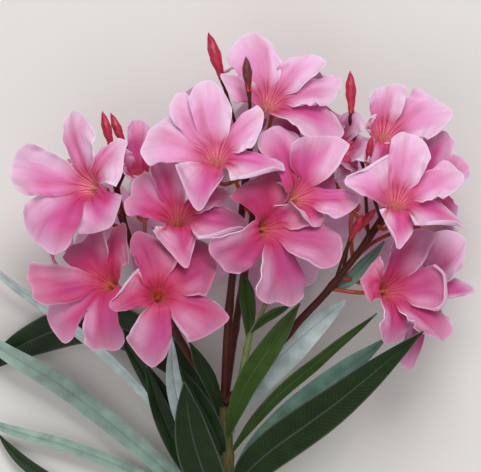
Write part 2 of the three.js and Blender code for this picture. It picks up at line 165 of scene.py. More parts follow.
# Joints of the main stem where the whorls of leaves leave: place along the table's Y, swelling and length
WHORLS = (-126, -110, -98, -84, -72)
WHORL_SWELL = 0.45
WHORL_LENGTH = 2.4
# Joints of the other limbs: share of the length, and swelling and length as shares of radius and length
JOINTS = (0.0, 0.36, 0.62, 0.85)
JOINT_SWELL = 0.22
JOINT_LENGTH = 0.03
# The cut end's wood, in millimetres: how far its rim stands proud of the stem's cut, and its rings from the
# hidden edge to the pith, each with its radius and how far it lies back from that rim
CUT_PROUD = 0.15
CUT_RINGS = ((2.75, 0.4), (2.75, 0.0), (2.5, -0.12), (0.7, -0.12), (0.5, 0.15))

# Radius at each distance from the neck of a bloom's tube, its calyx and its stalk, in millimetres
TUBE_RUNS = (0, 4, 5.5, 6.5, 8.5, 10, 13, 60)
TUBE_RADII = (1.75, 1.4, 1.35, 1.85, 1.75, 1.1, 0.8, 0.8)
# The same from the base of a bud
BUD_RUNS = (0, 1.5, 4, 60)
BUD_RADII = (0.95, 1.0, 0.65, 0.65)
# Rings of threads in the bell: depth below the mouth at which they stand, and their finish
THROAT_RINGS = {"fringe": (4.2, "fringe"), "crown": (7, "fringe"), "anthers": (8, "anther")}
# How far a bloom's tube reaches into its bell and then runs straight on, how far a bud's stalk reaches into
# the bud, and how far behind the calyx or the bud's base the sepals stand, in millimetres
NECK_OVERLAP = 0.3
NECK_LEAD = 2
BUD_OVERLAP = 0.4
SEPAL_SINK = 0.5
BUD_SEPAL_SINK = 0.6

# A bud's rolled petals: petals that an edge winds past up the bud, radius at an edge's low side and its step
# as shares of the bud's radius, and the power with which a petal rises to its edge
BUD_WIND = 3.2
BUD_LOW_SIDE = 0.9
BUD_STEP = 0.16
BUD_STEP_POWER = 1.5

# A leaf: rise of its margins and how far they bend down again, as shares of the half width, height of its
# waves as a share of the width, their number along a margin, how many radians apart the two margins' waves
# are, depth of the furrow over the midrib in millimetres, its half width across the leaf and how much of the
# midrib is gone at the tip
LEAF_FOLD = 0.2
LEAF_ROUND = 0.1
LEAF_WAVE = 0.035
LEAF_WAVES = 3
LEAF_WAVE_LAG = 1.3
FURROW_DEPTH = 0.18
RIB_WIDTH = 0.12
RIB_TAPER = 0.85

# Floor's half width, and each lamp's place, width and power, in metres and watts. The key shines from beyond
# the branch's tip and the fill from beside the camera, both at LIT_PLACE.
FLOOR_HALF = 3.0
LIGHTS = {
    "key": ((0.2, 1.1, 1.7), 1.0, 23.5),
    "fill": ((-0.5, -0.5, 1.8), 1.4, 7),
}
LIT_PLACE = (0, 0, 0.05)
# Width of the floor's grain, in millimetres
FLOOR_GRAIN = 2.5
# The camera's frame is FRAME_WIDTH wide at FRAME_LEVEL above the floor, in millimetres
CAMERA_DISTANCE = 1500.0
FRAME_WIDTH = 177.97
FRAME_LEVEL = 60.0

# Stem and flower stalks: points along the middle line from the thick end, and both radii
LIMBS = {
    "main_stem": {
        "path": [(-4, -142, 3.2), (-4, -128, 3.2), (-5, -98, 13), (-6, -64, 28)],
        "radii": (3.1, 2.6), "slot": "stem",
    },
    "side_shoot": {
        "path": [(-4, -74, 24), (-1, -62, 31), (1, -50, 36), (3.5, -37, 42)],
        "radii": (1.5, 1.2), "slot": "green_shoot",
    },
    "side_shoot_fork": {
        "path": [(3.5, -37, 42), (7, -31, 45), (10, -24, 46)],
        "radii": (0.9, 0.8), "slot": "green_shoot",
    },
    "peduncle_left": {
        "path": [(-7, -64, 27), (-11, -57, 31), (-21, -42, 38), (-34, -18, 43), (-44, 6, 44), (-47, 22, 42)],
        "radii": (1.6, 1.2), "slot": "flower_stalk",
    },
    "peduncle_middle": {
        "path": [(-6, -62, 29), (-5, -38, 38), (-3, -15, 43), (0, 5, 46), (2, 22, 46), (4, 36, 42)],
        "radii": (1.6, 1.2), "slot": "flower_stalk",
    },
    "peduncle_right": {
        "path": [(-5, -62, 30), (3.5, -54, 34), (21, -33, 41), (33, -20, 45), (47, -2, 47), (56, 12, 44)],
        "radii": (1.6, 1.2), "slot": "flower_stalk",
    },
    "peduncle_back": {
        "path": [(-6, -62, 25.5), (-2, -35, 26), (3, -5, 28), (5, 12, 30)],
        "radii": (1.6, 1.2), "slot": "flower_stalk",
    },
}

# Blooms on the best side. throat is where the bell's mouth is seen, faces is the way the flower looks, and
# looks is the bell's own axis where it leans otherwise. aside is how far the mouth's middle lies that way
# from the throat, where it isn't MOUTH_ASIDE, and size scales the bell. share is how far along its stalk the
# bloom is carried, and tone runs from pale 0 to deep 1. The tone is partly painted light and shade: blooms
# low in the head or in the shade of others are deeper, and high lit ones are paler. A petal's row is its
# left corner, tip and right corner from the throat, seen from above with the petal pointing up, and its
# bend. The tip has a height too. A petal that hardly shows is its tip, its width and its bend.
BLOOMS = {
    "front_low": {
        "throat": (-30, -22, 83), "faces": (0.05, 0.12, 1), "looks": (0.15, 0.35, 1),
        "stalk": "peduncle_left", "share": 0.38, "tone": 0.9,
        "petals": [
            ((-11, 17.5), (-7.5, 25, -12), (7.5, 14.5), "open"),
            ((14.5, 22.5), (22, 13, -12), (17.5, -1), "open"),
            ((21.5, -2.5), (26.5, -8.5, -4), (11, -18.5), "open"),
            ((4.5, -18.5), (-1.5, -27, -5), (-12.5, -15.5), "open"),
            ((-14, -6), (-18, -3, 3), (-7.5, 10), "hemmed"),
        ],
    },
    "front_left": {
        "throat": (-23, 5, 74), "faces": (0.02, 0.4, 0.92),
        "stalk": "peduncle_left", "share": 0.6, "tone": 0.65,
        "petals": [
            ((-19.5, 3), (-17.5, 11.5, -5), (-12.5, 19), "open"),
            ((-11, 19.5), (-6, 23, -6.5), (1, 20), "cupped"),
            ((12.5, 13.5), (19, 11.5, -7), (16, 5.5), "open"),
            ((19, 4.5), (27.5, -3.5, -2), (9, -10), "hemmed"),
            ((7, -5.5), (3.5, -17, 10), (-9.5, -4), "open"),
        ],
    },
    "upper_middle": {
        "throat": (-9, 27, 80), "faces": (0, 0.4, 0.92),
        "stalk": "peduncle_middle", "share": 0.86, "tone": 0.08,
        "petals": [
            ((-26, -0.5), (-26.5, 9.5, -6), (-18, 16), "open"),
            ((-10.5, 24.5), (-2.5, 31, -4.5), (6, 21), "open"),
            ((15, 22.5), (17.5, 15.5, -4), (14.5, 5), "open"),
            ((23, 0.5), (25.5, -3.5, -3), (6.5, -10.5), "hemmed"),
            ((3.5, -3.5), (-6.5, -18.5, 2), (-15, -2), "open"),
            ((-17.5, 17), (-14.5, 26, -9), (-9.3, 24.8), "open"),
        ],
    },
    "front_middle": {
        "throat": (10, 3, 78), "faces": (0.22, 0.08, 0.97), "looks": (0.7, 0.12, 0.8), "aside": 1,
        "stalk": "peduncle_middle", "share": 0.62, "tone": 0.8,
        "petals": [
            ((-14.5, 12), (-3.5, 19.5, -6), (7, 21), "open"),
            ((2.5, 9), (10, 8, -4), (14, 1.5), "cupped"),
            ((23.5, 0.5), (28.5, -8, -6), (20, -16.5), "open"),
            ((15.5, -26.5), (4.5, -28, -4), (-7, -23.5), "open"),
            ((-11, -18), (-19, -12.5, 2), (-21.5, -3.5), "open"),
        ],
    },
    "centre_right": {
        "throat": (20, 14, 75), "faces": (0.22, 0.3, 0.93), "looks": (0.6, 0.35, 0.8),
        "stalk": "peduncle_middle", "share": 0.74, "tone": 0.38,
        "petals": [
            ((-3, 20.5), (9.5, 23, -7), (18, 19), "cupped"),
            ((-14, 18.5), (-10, 26.5, -9), (-1, 24.5), "open"),
            ((23.5, 2.5), (24, -1.5, -5), (15.5, -9), "open"),
            ((11.5, -8), (6.5, -10.5, 2), (1.5, -6), "open"),
            ((-7, 4), (-8.5, 1, -14), (-7, -3), "drooped"),
        ],
    },
    "right": {
        "throat": (57, 11, 74), "faces": (0.1, 0.4, 0.92),
        "stalk": "peduncle_right", "share": 0.9, "tone": 0.12,
        "petals": [
            ((-1.5, 26), (7, 26.5, -5), (13.5, 18), "ruffled"),
            ((19.5, 16.5), (25.5, 10.5, -6), (19, 1), "ruffled"),
            ((17, -0.5), (25.5, -8, -3), (7, -10.5), "hemmed"),
            ((6, -10), (0.5, -16, 6), (-7, 0), "hemmed"),
            ((-15.5, 4.5), (-19, 9.5, 1), (-3, 19.5), "hemmed"),
        ],
    },
    "left_upper": {
        "throat": (-54, 18, 66), "faces": (-0.32, 0.28, 0.9), "looks": (-0.7, 0.25, 0.85),
        "stalk": "peduncle_left", "share": 0.82, "tone": 0.14,
        "petals": [
            ((-27, -3), (-31.5, 6, -7), (-24, 17), "ruffled"),
            ((-12.5, 24), (-8.5, 29.5, -9), (2.5, 21), "open"),
            ((6.5, 17.5), (12, 17.5, 0), (11, -0.5), "open"),
            ((11, -3.5), (6, -15, 4), (-6, -17), "open"),
            ((-10.5, -24.5), (-21, -21.5, -3), (-26, -9.5), "open"),
        ],
    },
    "left_lower": {
        "throat": (-48, -18, 60), "faces": (-0.3, 0.25, 0.92),
        "stalk": "peduncle_left", "share": 0.5, "tone": 0.8,
        "petals": [
            ((-18, 9.5), (-10, 16.5, -10), (-0.5, 21.5), "cupped"),
            ((1, 21.5), (4.5, 23.5, -7), (8, 8), "open"),
            ((-24.5, -9.5), (-29, -2.5, -3), (-29, 5.5), "tip_up"),
            ((-12, -15), (-17, -22, -2), (-23.5, -11.5), "open"),
            ((5.5, -22), (-2.5, -24.5, 0), (-9.5, -22.5), "open"),
        ],
    },
    "right_low": {
        "throat": (58, -19, 65), "faces": (0.42, 0.12, 0.9), "aside": -4,
        "stalk": "peduncle_right", "share": 0.6, "tone": 0.74,
        "petals": [
            ((-11, -5.5), (-14, 2.5, 4), (-7.5, 11.5), "open"),
            ((-4, 15.5), (3, 20.5, -8), (12.5, 20.5), "cupped"),
            ((16, 8.5), (20.5, -1, -9), (16, -10), "turned_back"),
            ((20.5, -12), (18.5, -20, -6), (5.5, -16.5), "ruffled"),
            ((4.5, -17), (-3.5, -21.5, 0), (-8.5, -14.5), "open"),
        ],
    },
    "top": {
        "throat": (10, 48, 58), "faces": (0.18, 0.42, 0.89),
        "stalk": "peduncle_middle", "share": 0.94, "tone": 0.02,
        "petals": [
            ((-16, 19.5), (-4.5, 29, -9), (4, 20), "open"),
            ((-13.5, 1.5), (-17.5, 12.5, -1), (-11, 10.5), "open"),
            ((5.5, 17), (15.5, 19.5, -5), (23, 15), "ruffled"),
            ((26.5, 12.5), (26.5, 5.5, -4), (20, -2), "ruffled"),
            ((25, -2.5), (29, -10.5, 2), (14, -15), "open"),
        ],
    },
    "right_top": {
        "throat": (53, 36, 56), "faces": (0.15, 0.4, 0.9),
        "stalk": "peduncle_right", "share": 0.97, "tone": 0.1,
        "petals": [
            ((-6, 16), (1.5, 20, -3), (8.5, 19), "cupped"),
            ((13.5, 18.5), (26.5, 9.5, -5), (18, -2.5), "ruffled"),
            ((-5, 3), (-7.5, 4.5, 4), (-6, 8.5), "cupped"),
            ((13.5, -7), (10.5, -12.5, -4), (6, -11), "open"),
            ((1.5, -11.5), (-2, -14, 2), (-7.5, -10), "open"),
        ],
    },
    "left_behind": {
        "throat": (-38, 27, 52), "faces": (0.1, 0.9, 0.3), "looks": (0, 0.6, 0.75), "aside": -6, "size": 0.6,
        "stalk": "peduncle_left", "share": 0.92, "tone": 0.4,
        "petals": [
            ((0.5, 16.5, 0), 9, "open"),
            ((-8, 4, 5), 8, "cupped"),
            ((6, 4, 4), 8, "cupped"),
            ((3, -4, 6), 8, "cupped"),
            ((-5, -4, 7), 8, "cupped"),
        ],
    },
    "top_behind": {
        "throat": (26, 30, 52), "faces": (0.2, 0.4, 0.9),
        "stalk": "peduncle_middle", "share": 0.8, "tone": 0.7,
        "petals": [
            ((8, 17, -2), 15, "open"),
            ((-10, 16, -5), 15, "open"),
            ((18, -3, -6), 15, "open"),
            ((3, -16, 2), 15, "open"),
            ((-15, 0, -3), 14, "open"),
        ],
    },
    "right_behind": {
        "throat": (36, 33, 50), "faces": (0.2, 0.3, 0.9), "aside": 0,
        "stalk": "peduncle_right", "share": 0.86, "tone": 0.08,
        "petals": [
            ((1, 11.5), (6, 13.5, 2), (10.5, 9), "open"),
            ((6, 6), (12, 2.5, 5), (11.5, -6), "open"),
            ((3, -12, -2), 13, "open"),
            ((-12, -4, -2), 13, "open"),
            ((-11, 9, -2), 13, "open"),
        ],
    },
    "far_right": {
        "throat": (68, 17, 54), "faces": (0.4, 0.3, 0.8),
        "stalk": "peduncle_right", "share": 0.82, "tone": 0.45,
        "petals": [
            ((6, 15), (15.5, 12, -6), (17.5, 5), "open"),
            ((0, 20.5), (6, 23, -6), (11.5, 18.5), "open"),
            ((-15, 15), (-13.5, 18.5, 2), (-9.5, 16.5), "open"),
            ((-7.5, -12), (-9, -9.5, 4), (-13.5, -6), "open"),
            ((14, -7.5), (10.5, -11, -2), (6, -9), "open"),
        ],
    },
    "far_right_low": {
        "throat": (68, -21, 45), "faces": (0.45, 0, 0.87), "looks": (0.2, 0, 0.98),
        "stalk": "peduncle_right", "share": 0.66, "tone": 0.15,
        "petals": [
            ((2.7, 22.5), (15.5, 20.5, 8), (15, 10), "open"),
            ((13, 5.5), (21, 0.5, -8), (10.5, -2.5), "open"),
            ((-3, -29.5), (-7, -28.5, 0), (-9, -22), "open"),
            ((-10.5, -11), (-14, -5, 6), (-14, 1), "open"),
            ((-9, 18), (-4.5, 19.5, 3), (2, 19), "open"),
        ],
    },
}

# Blooms on the far side and round the flanks. Their five petals are even: reach is throat to tip, spin turns
# the first one in degrees and lift is how far the tips lie back from flat.
EVEN_BLOOMS = {
    "back_left": {
        "throat": (-40, 8, 4.8), "faces": (-0.2, 0.05, -0.98), "stalk": "peduncle_left", "share": 0.66,
        "tone": 0.45, "reach": 27, "spin": 20, "lift": 2,
    },
    "back_middle": {
        "throat": (-8, 34, 5.1), "faces": (-0.1, 0.2, -0.97), "stalk": "peduncle_back", "share": 0.93,
        "tone": 0.3, "reach": 27, "spin": 50, "lift": 2,
    },
    "back_right": {
        "throat": (46, 12, 5.3), "faces": (0.2, 0.1, -0.97), "stalk": "peduncle_right", "share": 0.74,
        "tone": 0.35, "reach": 27, "spin": 10, "lift": 2,
    },
    "back_low": {
        "throat": (5, -6, 5), "faces": (0.05, -0.1, -0.99), "stalk": "peduncle_back", "share": 0.55,
        "tone": 0.5, "reach": 27, "spin": 36, "lift": 3,
    },
    "flank_left": {
        "throat": (-70, 8, 33), "faces": (-0.9, 0.1, -0.1), "stalk": "peduncle_left", "share": 0.74,
        "tone": 0.45, "reach": 23, "spin": 12, "lift": 4,
    },
    "flank_right": {
        "throat": (76, 4, 30), "faces": (0.9, 0.1, -0.25), "stalk": "peduncle_right", "share": 0.7,
        "tone": 0.4, "reach": 22, "spin": 30, "lift": 4,
    },
    "flank_top": {
        "throat": (14, 62, 27), "faces": (0.1, 0.9, -0.25), "stalk": "peduncle_middle", "share": 0.86,
        "tone": 0.3, "reach": 23, "spin": 0, "lift": 4,
    },
}
# Width of a petal that has no corners of its own, and how far along it they then lie, left and right
EVEN_PETAL_WIDTH = 15
EVEN_CORNERS = (0.9, 0.76)

# Buds: base, tip, the stalk that carries them and the share along it, radius, how far the bud's own stalk
# dips, and tone from bright 0 to dark 1
BUDS = {
    "bud_top_left": {"base": (-7, 59, 46), "tip": (-12, 76, 46), "stalk": "peduncle_middle", "share": 0.9,
                     "radius": 2.3},
    "bud_top": {"base": (3, 54, 68), "tip": (2, 66, 70), "stalk": "peduncle_middle", "share": 0.94,
                "radius": 1.8, "tone": 1},
    "bud_left": {"base": (-48, 33, 50), "tip": (-51.5, 46.5, 50), "stalk": "peduncle_left", "share": 0.97,
                 "radius": 1.8},
    "bud_left_inner": {"base": (-43.5, 34, 47), "tip": (-48.5, 46, 46), "stalk": "peduncle_left",
                       "share": 0.95, "radius": 1.7},
    "bud_right_top": {"base": (41, 46, 62), "tip": (40.5, 61, 63), "stalk": "peduncle_right", "share": 0.93,
                      "radius": 2, "dip": 13},
    "bud_right_inner": {"base": (47, 27, 60), "tip": (48.5, 37, 63), "stalk": "peduncle_right",
                        "share": 0.84, "radius": 1.4},
    "bud_right_low": {"base": (44, 3, 56), "tip": (50, 10, 60), "stalk": "peduncle_right", "share": 0.68,
                      "radius": 1.6},
    "bud_right_low_inner": {"base": (41, -1, 58), "tip": (45, 8, 64), "stalk": "peduncle_right",
                            "share": 0.63, "radius": 1.5},
}

# Leaves: points along the midrib from the stem to the tip, width at the widest, roll in degrees and tint
LEAVES = {
    "right_front": ([(-4, -97, 16), (8, -84, 28), (36, -62, 50), (67, -35, 72)], 15, 0, "dark"),
    "right_middle": ([(-4, -93, 14), (10, -77, 21), (33, -56, 32), (55, -38, 42)], 11, 0, "grey"),
    "right_narrow": ([(-5, -84, 19), (10, -64, 30), (30, -46, 38), (51, -29, 44)], 6, 35, "olive"),
    "front_olive": ([(-5, -76, 25), (2, -56, 42), (12, -40, 51), (22, -25, 56)], 9, 0, "olive"),
    "right_pale": ([(-6, -72, 22), (8, -53, 27), (22, -39, 32), (40, -24, 34)], 13, 0, "pale"),
    "front": ([(-5, -107, 12), (-12, -94, 26), (-18, -75, 42), (-21, -54, 58)], 15, 0, "dark"),
    "front_narrow": ([(-6, -84, 21), (-10, -74, 28), (-16, -62, 36), (-22, -50, 42)], 8, 0, "dark"),
    "left_short": ([(-6, -73, 23.5), (-11, -56, 35), (-15, -48, 40), (-19, -40, 45)], 6, 20, "dark"),
    "left_teal": ([(-6, -98, 13), (-19, -76, 20), (-25, -56, 26), (-26, -38, 30)], 7, 0, "pale"),
    "left_dark": ([(-6, -104, 11), (-20, -87, 17), (-30, -67, 22), (-36, -49, 26)], 8, 0, "dark"),
    "left_inner": ([(-6, -90, 14), (-22, -72, 15), (-33, -57, 17), (-46, -38, 18)], 8, 0, "dark"),
    "left_edge": (
        [(-6, -101, 10), (-24, -75, 10), (-53, -44, 12), (-88, -17.5, 14), (-101, -6, 14)], 5.5, -45, "pale",
    ),
    "left_long": (
        [(-5, -112, 7), (-28, -90, 9), (-67, -58, 12), (-90, -44, 13), (-104, -34, 12)], 8, 0, "silver",
    ),
    "left_low": (
        [(-5, -110, 6), (-25, -98, 5), (-62, -82, 7), (-89, -74, 8), (-103, -69, 8)], 5, 20, "silver",
    ),
    "left_lowest": (
        [(-5, -126, 3), (-30, -116, 3), (-60, -102, 4), (-84, -86, 5), (-93, -76, 5)], 6, 0, "dark",
    ),
    "left_broad": (
        [(-6, -70, 25), (-30, -44, 10), (-55, -33, 5), (-80, -40, 4), (-100, -52, 4)], 16, 0, "dark",
    ),
    "shoot": ([(3, -40, 39), (3, -28, 39), (2, -20, 38), (1, -14, 37)], 6, 0, "olive"),
    "shoot_right": ([(4, -36, 44), (9, -31, 49), (14, -28, 51), (18.5, -26, 53)], 3.5, 0, "olive"),
    "peduncle": ([(33, -20, 43), (40, -17, 41), (47, -10, 41), (54, -2, 40)], 5, 0, "grey"),
}

# Upper and lower colour of each leaf tint. The tints are lit and shaded copies of one leaf colour: grey,
# silver and pale are painted sheen of the sky on the waxed leaves, and also lighten leaves that lie in shade.
LEAF_TINTS = {
    "dark": ("152c08", "4a6632"),
    "olive": ("2d480c", "5c7838"),
    "grey": ("5c7c6f", "86a093"),
    "silver": ("8fa99c", "a2b6ac"),
    "pale": ("bccccc", "c0ceca"),
}


def linear(hex_colour):
    """Linear red, green, blue and full alpha of an sRGB hex colour."""
    shares = [int(hex_colour[place:place + 2], 16) / 255 for place in (0, 2, 4)]
    return tuple(c / 12.92 if c <= 0.04045 else ((c + 0.055) / 1.055) ** 2.4 for c in shares) + (1.0,)


def colour_property(name, description, hex_colour):
    return FloatVectorProperty(name=name, description=description, default=linear(hex_colour),
                               subtype="COLOR", size=4, min=0, max=1)


def length_property(name, description, millimetres):
    return FloatProperty(name=name, description=description, default=millimetres * MM, unit="LENGTH", min=0)


class OleanderSizes(bpy.types.PropertyGroup):
    petal_thickness: length_property("Petal thickness", "Thickness of a petal's tissue", 0.4)
    leaf_thickness: length_property("Leaf thickness", "Thickness of a leaf's blade beside its midrib", 0.5)
    midrib_depth: length_property("Midrib depth", "How far a leaf's midrib stands out below", 0.7)
    fringe_length: length_property("Fringe length", "Length of the threads round a flower's throat", 5.2)
    sepal_length: length_property("Sepal length", "Length of the calyx's pointed lobes", 5.0)
    bark_relief: length_property("Bark relief", "Height of the unevenness of stem and stalks", 0.12)
    petal_rows: IntProperty(name="Petal rows", description="Rows of faces along a petal", default=34, min=8)
    petal_columns: IntProperty(name="Petal columns", description="Columns of faces across a petal",
                               default=20, min=6)
    leaf_rows: IntProperty(name="Leaf rows", description="Rows of faces along a leaf", default=48, min=12)
    leaf_columns: IntProperty(name="Leaf columns", description="Columns of faces across a leaf",
                              default=14, min=6)


class OleanderColours(bpy.types.PropertyGroup):
    # petal_rim is painted light through a petal's thin rim, and petal_pale is partly a painted highlight on
    # its upper margin and tip. petal_heart is partly painted shade near the throat, and petal_light and
    # petal_deep follow a bloom's tone, which is partly painted light and shade.
    petal_rim: colour_property("Petal rim", "Thin rim of a petal", "eedfea")
    petal_pale: colour_property("Pale petal", "Petal colour at the upper margin and the tip", "e6cae2")
    petal_light: colour_property("Light petal", "Petal colour of the palest blooms", "da62ac")
    petal_deep: colour_property("Deep petal", "Petal colour of the deepest blooms", "ab3269")
    petal_heart: colour_property("Petal heart", "Petal colour where the petals meet", "ba1e55")
    petal_streak: colour_property("Petal streak", "Streaks down the bell", "a51536")
    bell_wall: colour_property("Bell wall", "Inside of a pale bloom's bell between the streaks", "e47c92")
    deep_wall: colour_property("Deep bell wall", "Inside of a deep bloom's bell", "bc3a50")
    throat: colour_property("Throat", "Bottom of the bell in a deep bloom", "ec7c2c")
    pale_throat: colour_property("Pale throat", "Bottom of the bell in a pale bloom", "f4b8a0")
    fringe: colour_property("Fringe", "Threads round the throat of a pale bloom", "ee8ea4")
    deep_fringe: colour_property("Deep fringe", "Threads round the throat of a deep bloom", "b83a50")
    anther: colour_property("Anther", "Feathered anthers of a pale bloom", "efb9a0")
    deep_anther: colour_property("Deep anther", "Feathered anthers of a deep bloom", "d8883a")
    bud: colour_property("Bud", "Rolled petals of a bud", "b01a3c")
    dark_bud: colour_property("Dark bud", "Rolled petals of the youngest buds", "64201c")
    calyx: colour_property("Calyx", "Calyx and the stalk below it", "a83a1c")
    tube: colour_property("Tube", "Thin tube between a bloom's bell and its calyx", "c4526a")
    pedicel: colour_property("Pedicel", "Short stalk of one bloom", "9c3a1c")
    flower_stalk: colour_property("Flower stalk", "Stalks that carry the blooms", "46160c")
    green_shoot: colour_property("Green shoot", "Soft side shoot", "73844d")
    bark: colour_property("Bark", "Young bark of the main stem", "3e4418")
    brown_bark: colour_property("Brown bark", "Older streaks in the bark", "6a5a30")
    wood: colour_property("Cut wood", "Pale wood of the cut end", "c8b888")
    floor: colour_property("Floor", "Plain floor under the branch", "dcdad6")
    studio_air: colour_property("Studio air", "Even light from all sides", "f2f0f2")


def unit(vectors):
    return vectors / np.linalg.norm(vectors, axis=-1, keepdims=True)


def dot(one, other):
    return np.sum(one * other, axis=-1, keepdims=True)


def smooth_step(low, high, values):
    share = np.clip((values - low) / (high - low), 0, 1)
    return share * share * (3 - 2 * share)


def bell_curve(values, width):
    """1 at 0, falling to about a third at the width on either side."""
    return np.exp(-(values / width) ** 2)


def curve_point(path, share):
    """Point on a centripetal Catmull-Rom curve through the path. share runs evenly over its spans."""
    points = np.array(path, float)
    spans = len(points) - 1
    place = min(share * spans, spans - 1e-9)
    span = int(place)
    step = place - span
    start, end = points[span], points[span + 1]
    before = points[span - 1] if span else 2 * points[0] - points[1]
    after = points[span + 2] if span + 2 <= spans else 2 * points[-1] - points[-2]
    first, middle, last = (math.sqrt(np.linalg.norm(b - a))
                           for a, b in ((before, start), (start, end), (end, after)))
    leave = ((start - before) / first - (end - before) / (first + middle) + (end - start) / middle) * middle
    arrive = ((end - start) / middle - (after - start) / (middle + last) + (after - end) / last) * middle
    square = -3 * start + 3 * end - 2 * leave - arrive
    cube = 2 * start - 2 * end + leave + arrive
    return start + leave * step + square * step ** 2 + cube * step ** 3


def curve_points(path, count):
    return np.array([curve_point(path, step / (count - 1)) for step in range(count)])


def run_lengths(points):
    """Distance from the first point to each point."""
    return np.concatenate(([0], np.cumsum(np.linalg.norm(np.diff(points, axis=0), axis=1))))


def point_at(path, share):
    """Point at a share of the curve's length."""
    points = curve_points(path, count=201)
    lengths = run_lengths(points)
    return np.array([np.interp(share * lengths[-1], lengths, points[:, axis]) for axis in range(3)])


def outline_at(outline, shares):
    """Smooth half width at each share of the length."""
    drawn = curve_points(outline, count=121)
    return np.interp(shares, drawn[:, 0], drawn[:, 1])


def add_node(tree, kind, inputs=None, output=0, **settings):
    """A node with its settings. Each input is a number, or an output socket that it is linked to. The answer
    is one of its output sockets, or all of them when output is None."""
    node = tree.nodes.new(kind)
    for name, value in settings.items():
        setattr(node, name, value)
    for key, value in (inputs or {}).items():
        if isinstance(value, bpy.types.NodeSocket):
            tree.links.new(value, node.inputs[key])
        else:
            node.inputs[key].default_value = value
    return node.outputs if output is None else node.outputs[output]


# Places of a Mix node's colour sockets, which share their names with its other kinds
SHARE, FIRST, SECOND = 0, 6, 7
MIXED = 2


def new_material(name):
    material = bpy.data.materials.new(name)
    material.use_nodes = True
    tree = material.node_tree
    tree.nodes.clear()
    return material, tree


# The petal's noises: how many cells lie across half its width and along it, detail and roughness. The bands
# are broad and soft, and their deep places are painted shade of the petal's soft folds. The veins are about
# 1 mm apart. Both keep their share of the width, so that they fan out.
PETAL_NOISES = {
    "bands": (1.5, 0.9, 1, 0.5),
    "veins": (9.0, 1.6, 3, 0.6),
}
# Crimson streaks down the bell, four or five a petal: radians across half the width, how far the veins make
# them wander, and how strongly the bands break them
STREAK_TURNS = 14.0
STREAK_WANDER = 5.0
STREAK_BREAKS = 4.0
# Shares of the petal's colours. Each follows one fact or pattern: what it follows, where on that it starts
# and stops to change, the share at both ends, and how it changes. A run is the way from the bell's neck.
PETAL_SHARES = {
    # Partly painted light: the palest blooms, high in the head, are whitened all over
    "milk": ("tone", 0.0, 0.2, 0.36, 0.0, "LINEAR"),
    # Painted shade of the petal's soft folds, in the bands' deep places
    "fold_shade": ("bands", 0.42, 0.64, 0.0, 0.5, "LINEAR"),
    # Partly the petal's own deep rose near the neck and partly painted shade inside the bell
    "heart": ("run", 8 * MM, 18 * MM, 0.75, 0.0, "SMOOTHSTEP"),
    "blade": ("along", 0.02, 0.35, 0.0, 1.0, "LINEAR"),
    # Painted light: paler on the margin that lies on top and towards the end, less so in a deep bloom
    "pale_side": ("across", 0.0, 0.7, 0.0, 0.8, "SMOOTHSTEP"),
    "pale_end": ("along", 0.4, 1.05, 0.0, 0.8, "SMOOTHSTEP"),
    "pale_hold": ("tone", 0.0, 1.0, 1.0, 0.22, "LINEAR"),
    "vein": ("veins", 0.5, 0.75, 0.0, 0.2, "LINEAR"),
    "wall": ("run", 6 * MM, 11 * MM, 0.75, 0.0, "SMOOTHSTEP"),
    "streak": ("streaks", 2.35, 2.95, 0.0, 1.0, "LINEAR"),
    "streak_hold": ("run", 9 * MM, 14.5 * MM, 0.9, 0.0, "SMOOTHSTEP"),
    "throat": ("run", 2 * MM, 6.5 * MM, 0.9, 0.0, "SMOOTHSTEP"),
    "back": ("under", 0.0, 1.0, 0.0, 0.55, "LINEAR"),
    # Painted light through the thin rim of the upper margin and the end, less so in a deep bloom
    "rim_side": ("across", 0.9, 1.0, 0.0, 0.7, "LINEAR"),
    "rim_end": ("along", 0.96, 1.0, 0.0, 0.45, "LINEAR"),
    "rim_hold": ("tone", 0.0, 1.0, 1.0, 0.4, "LINEAR"),
}
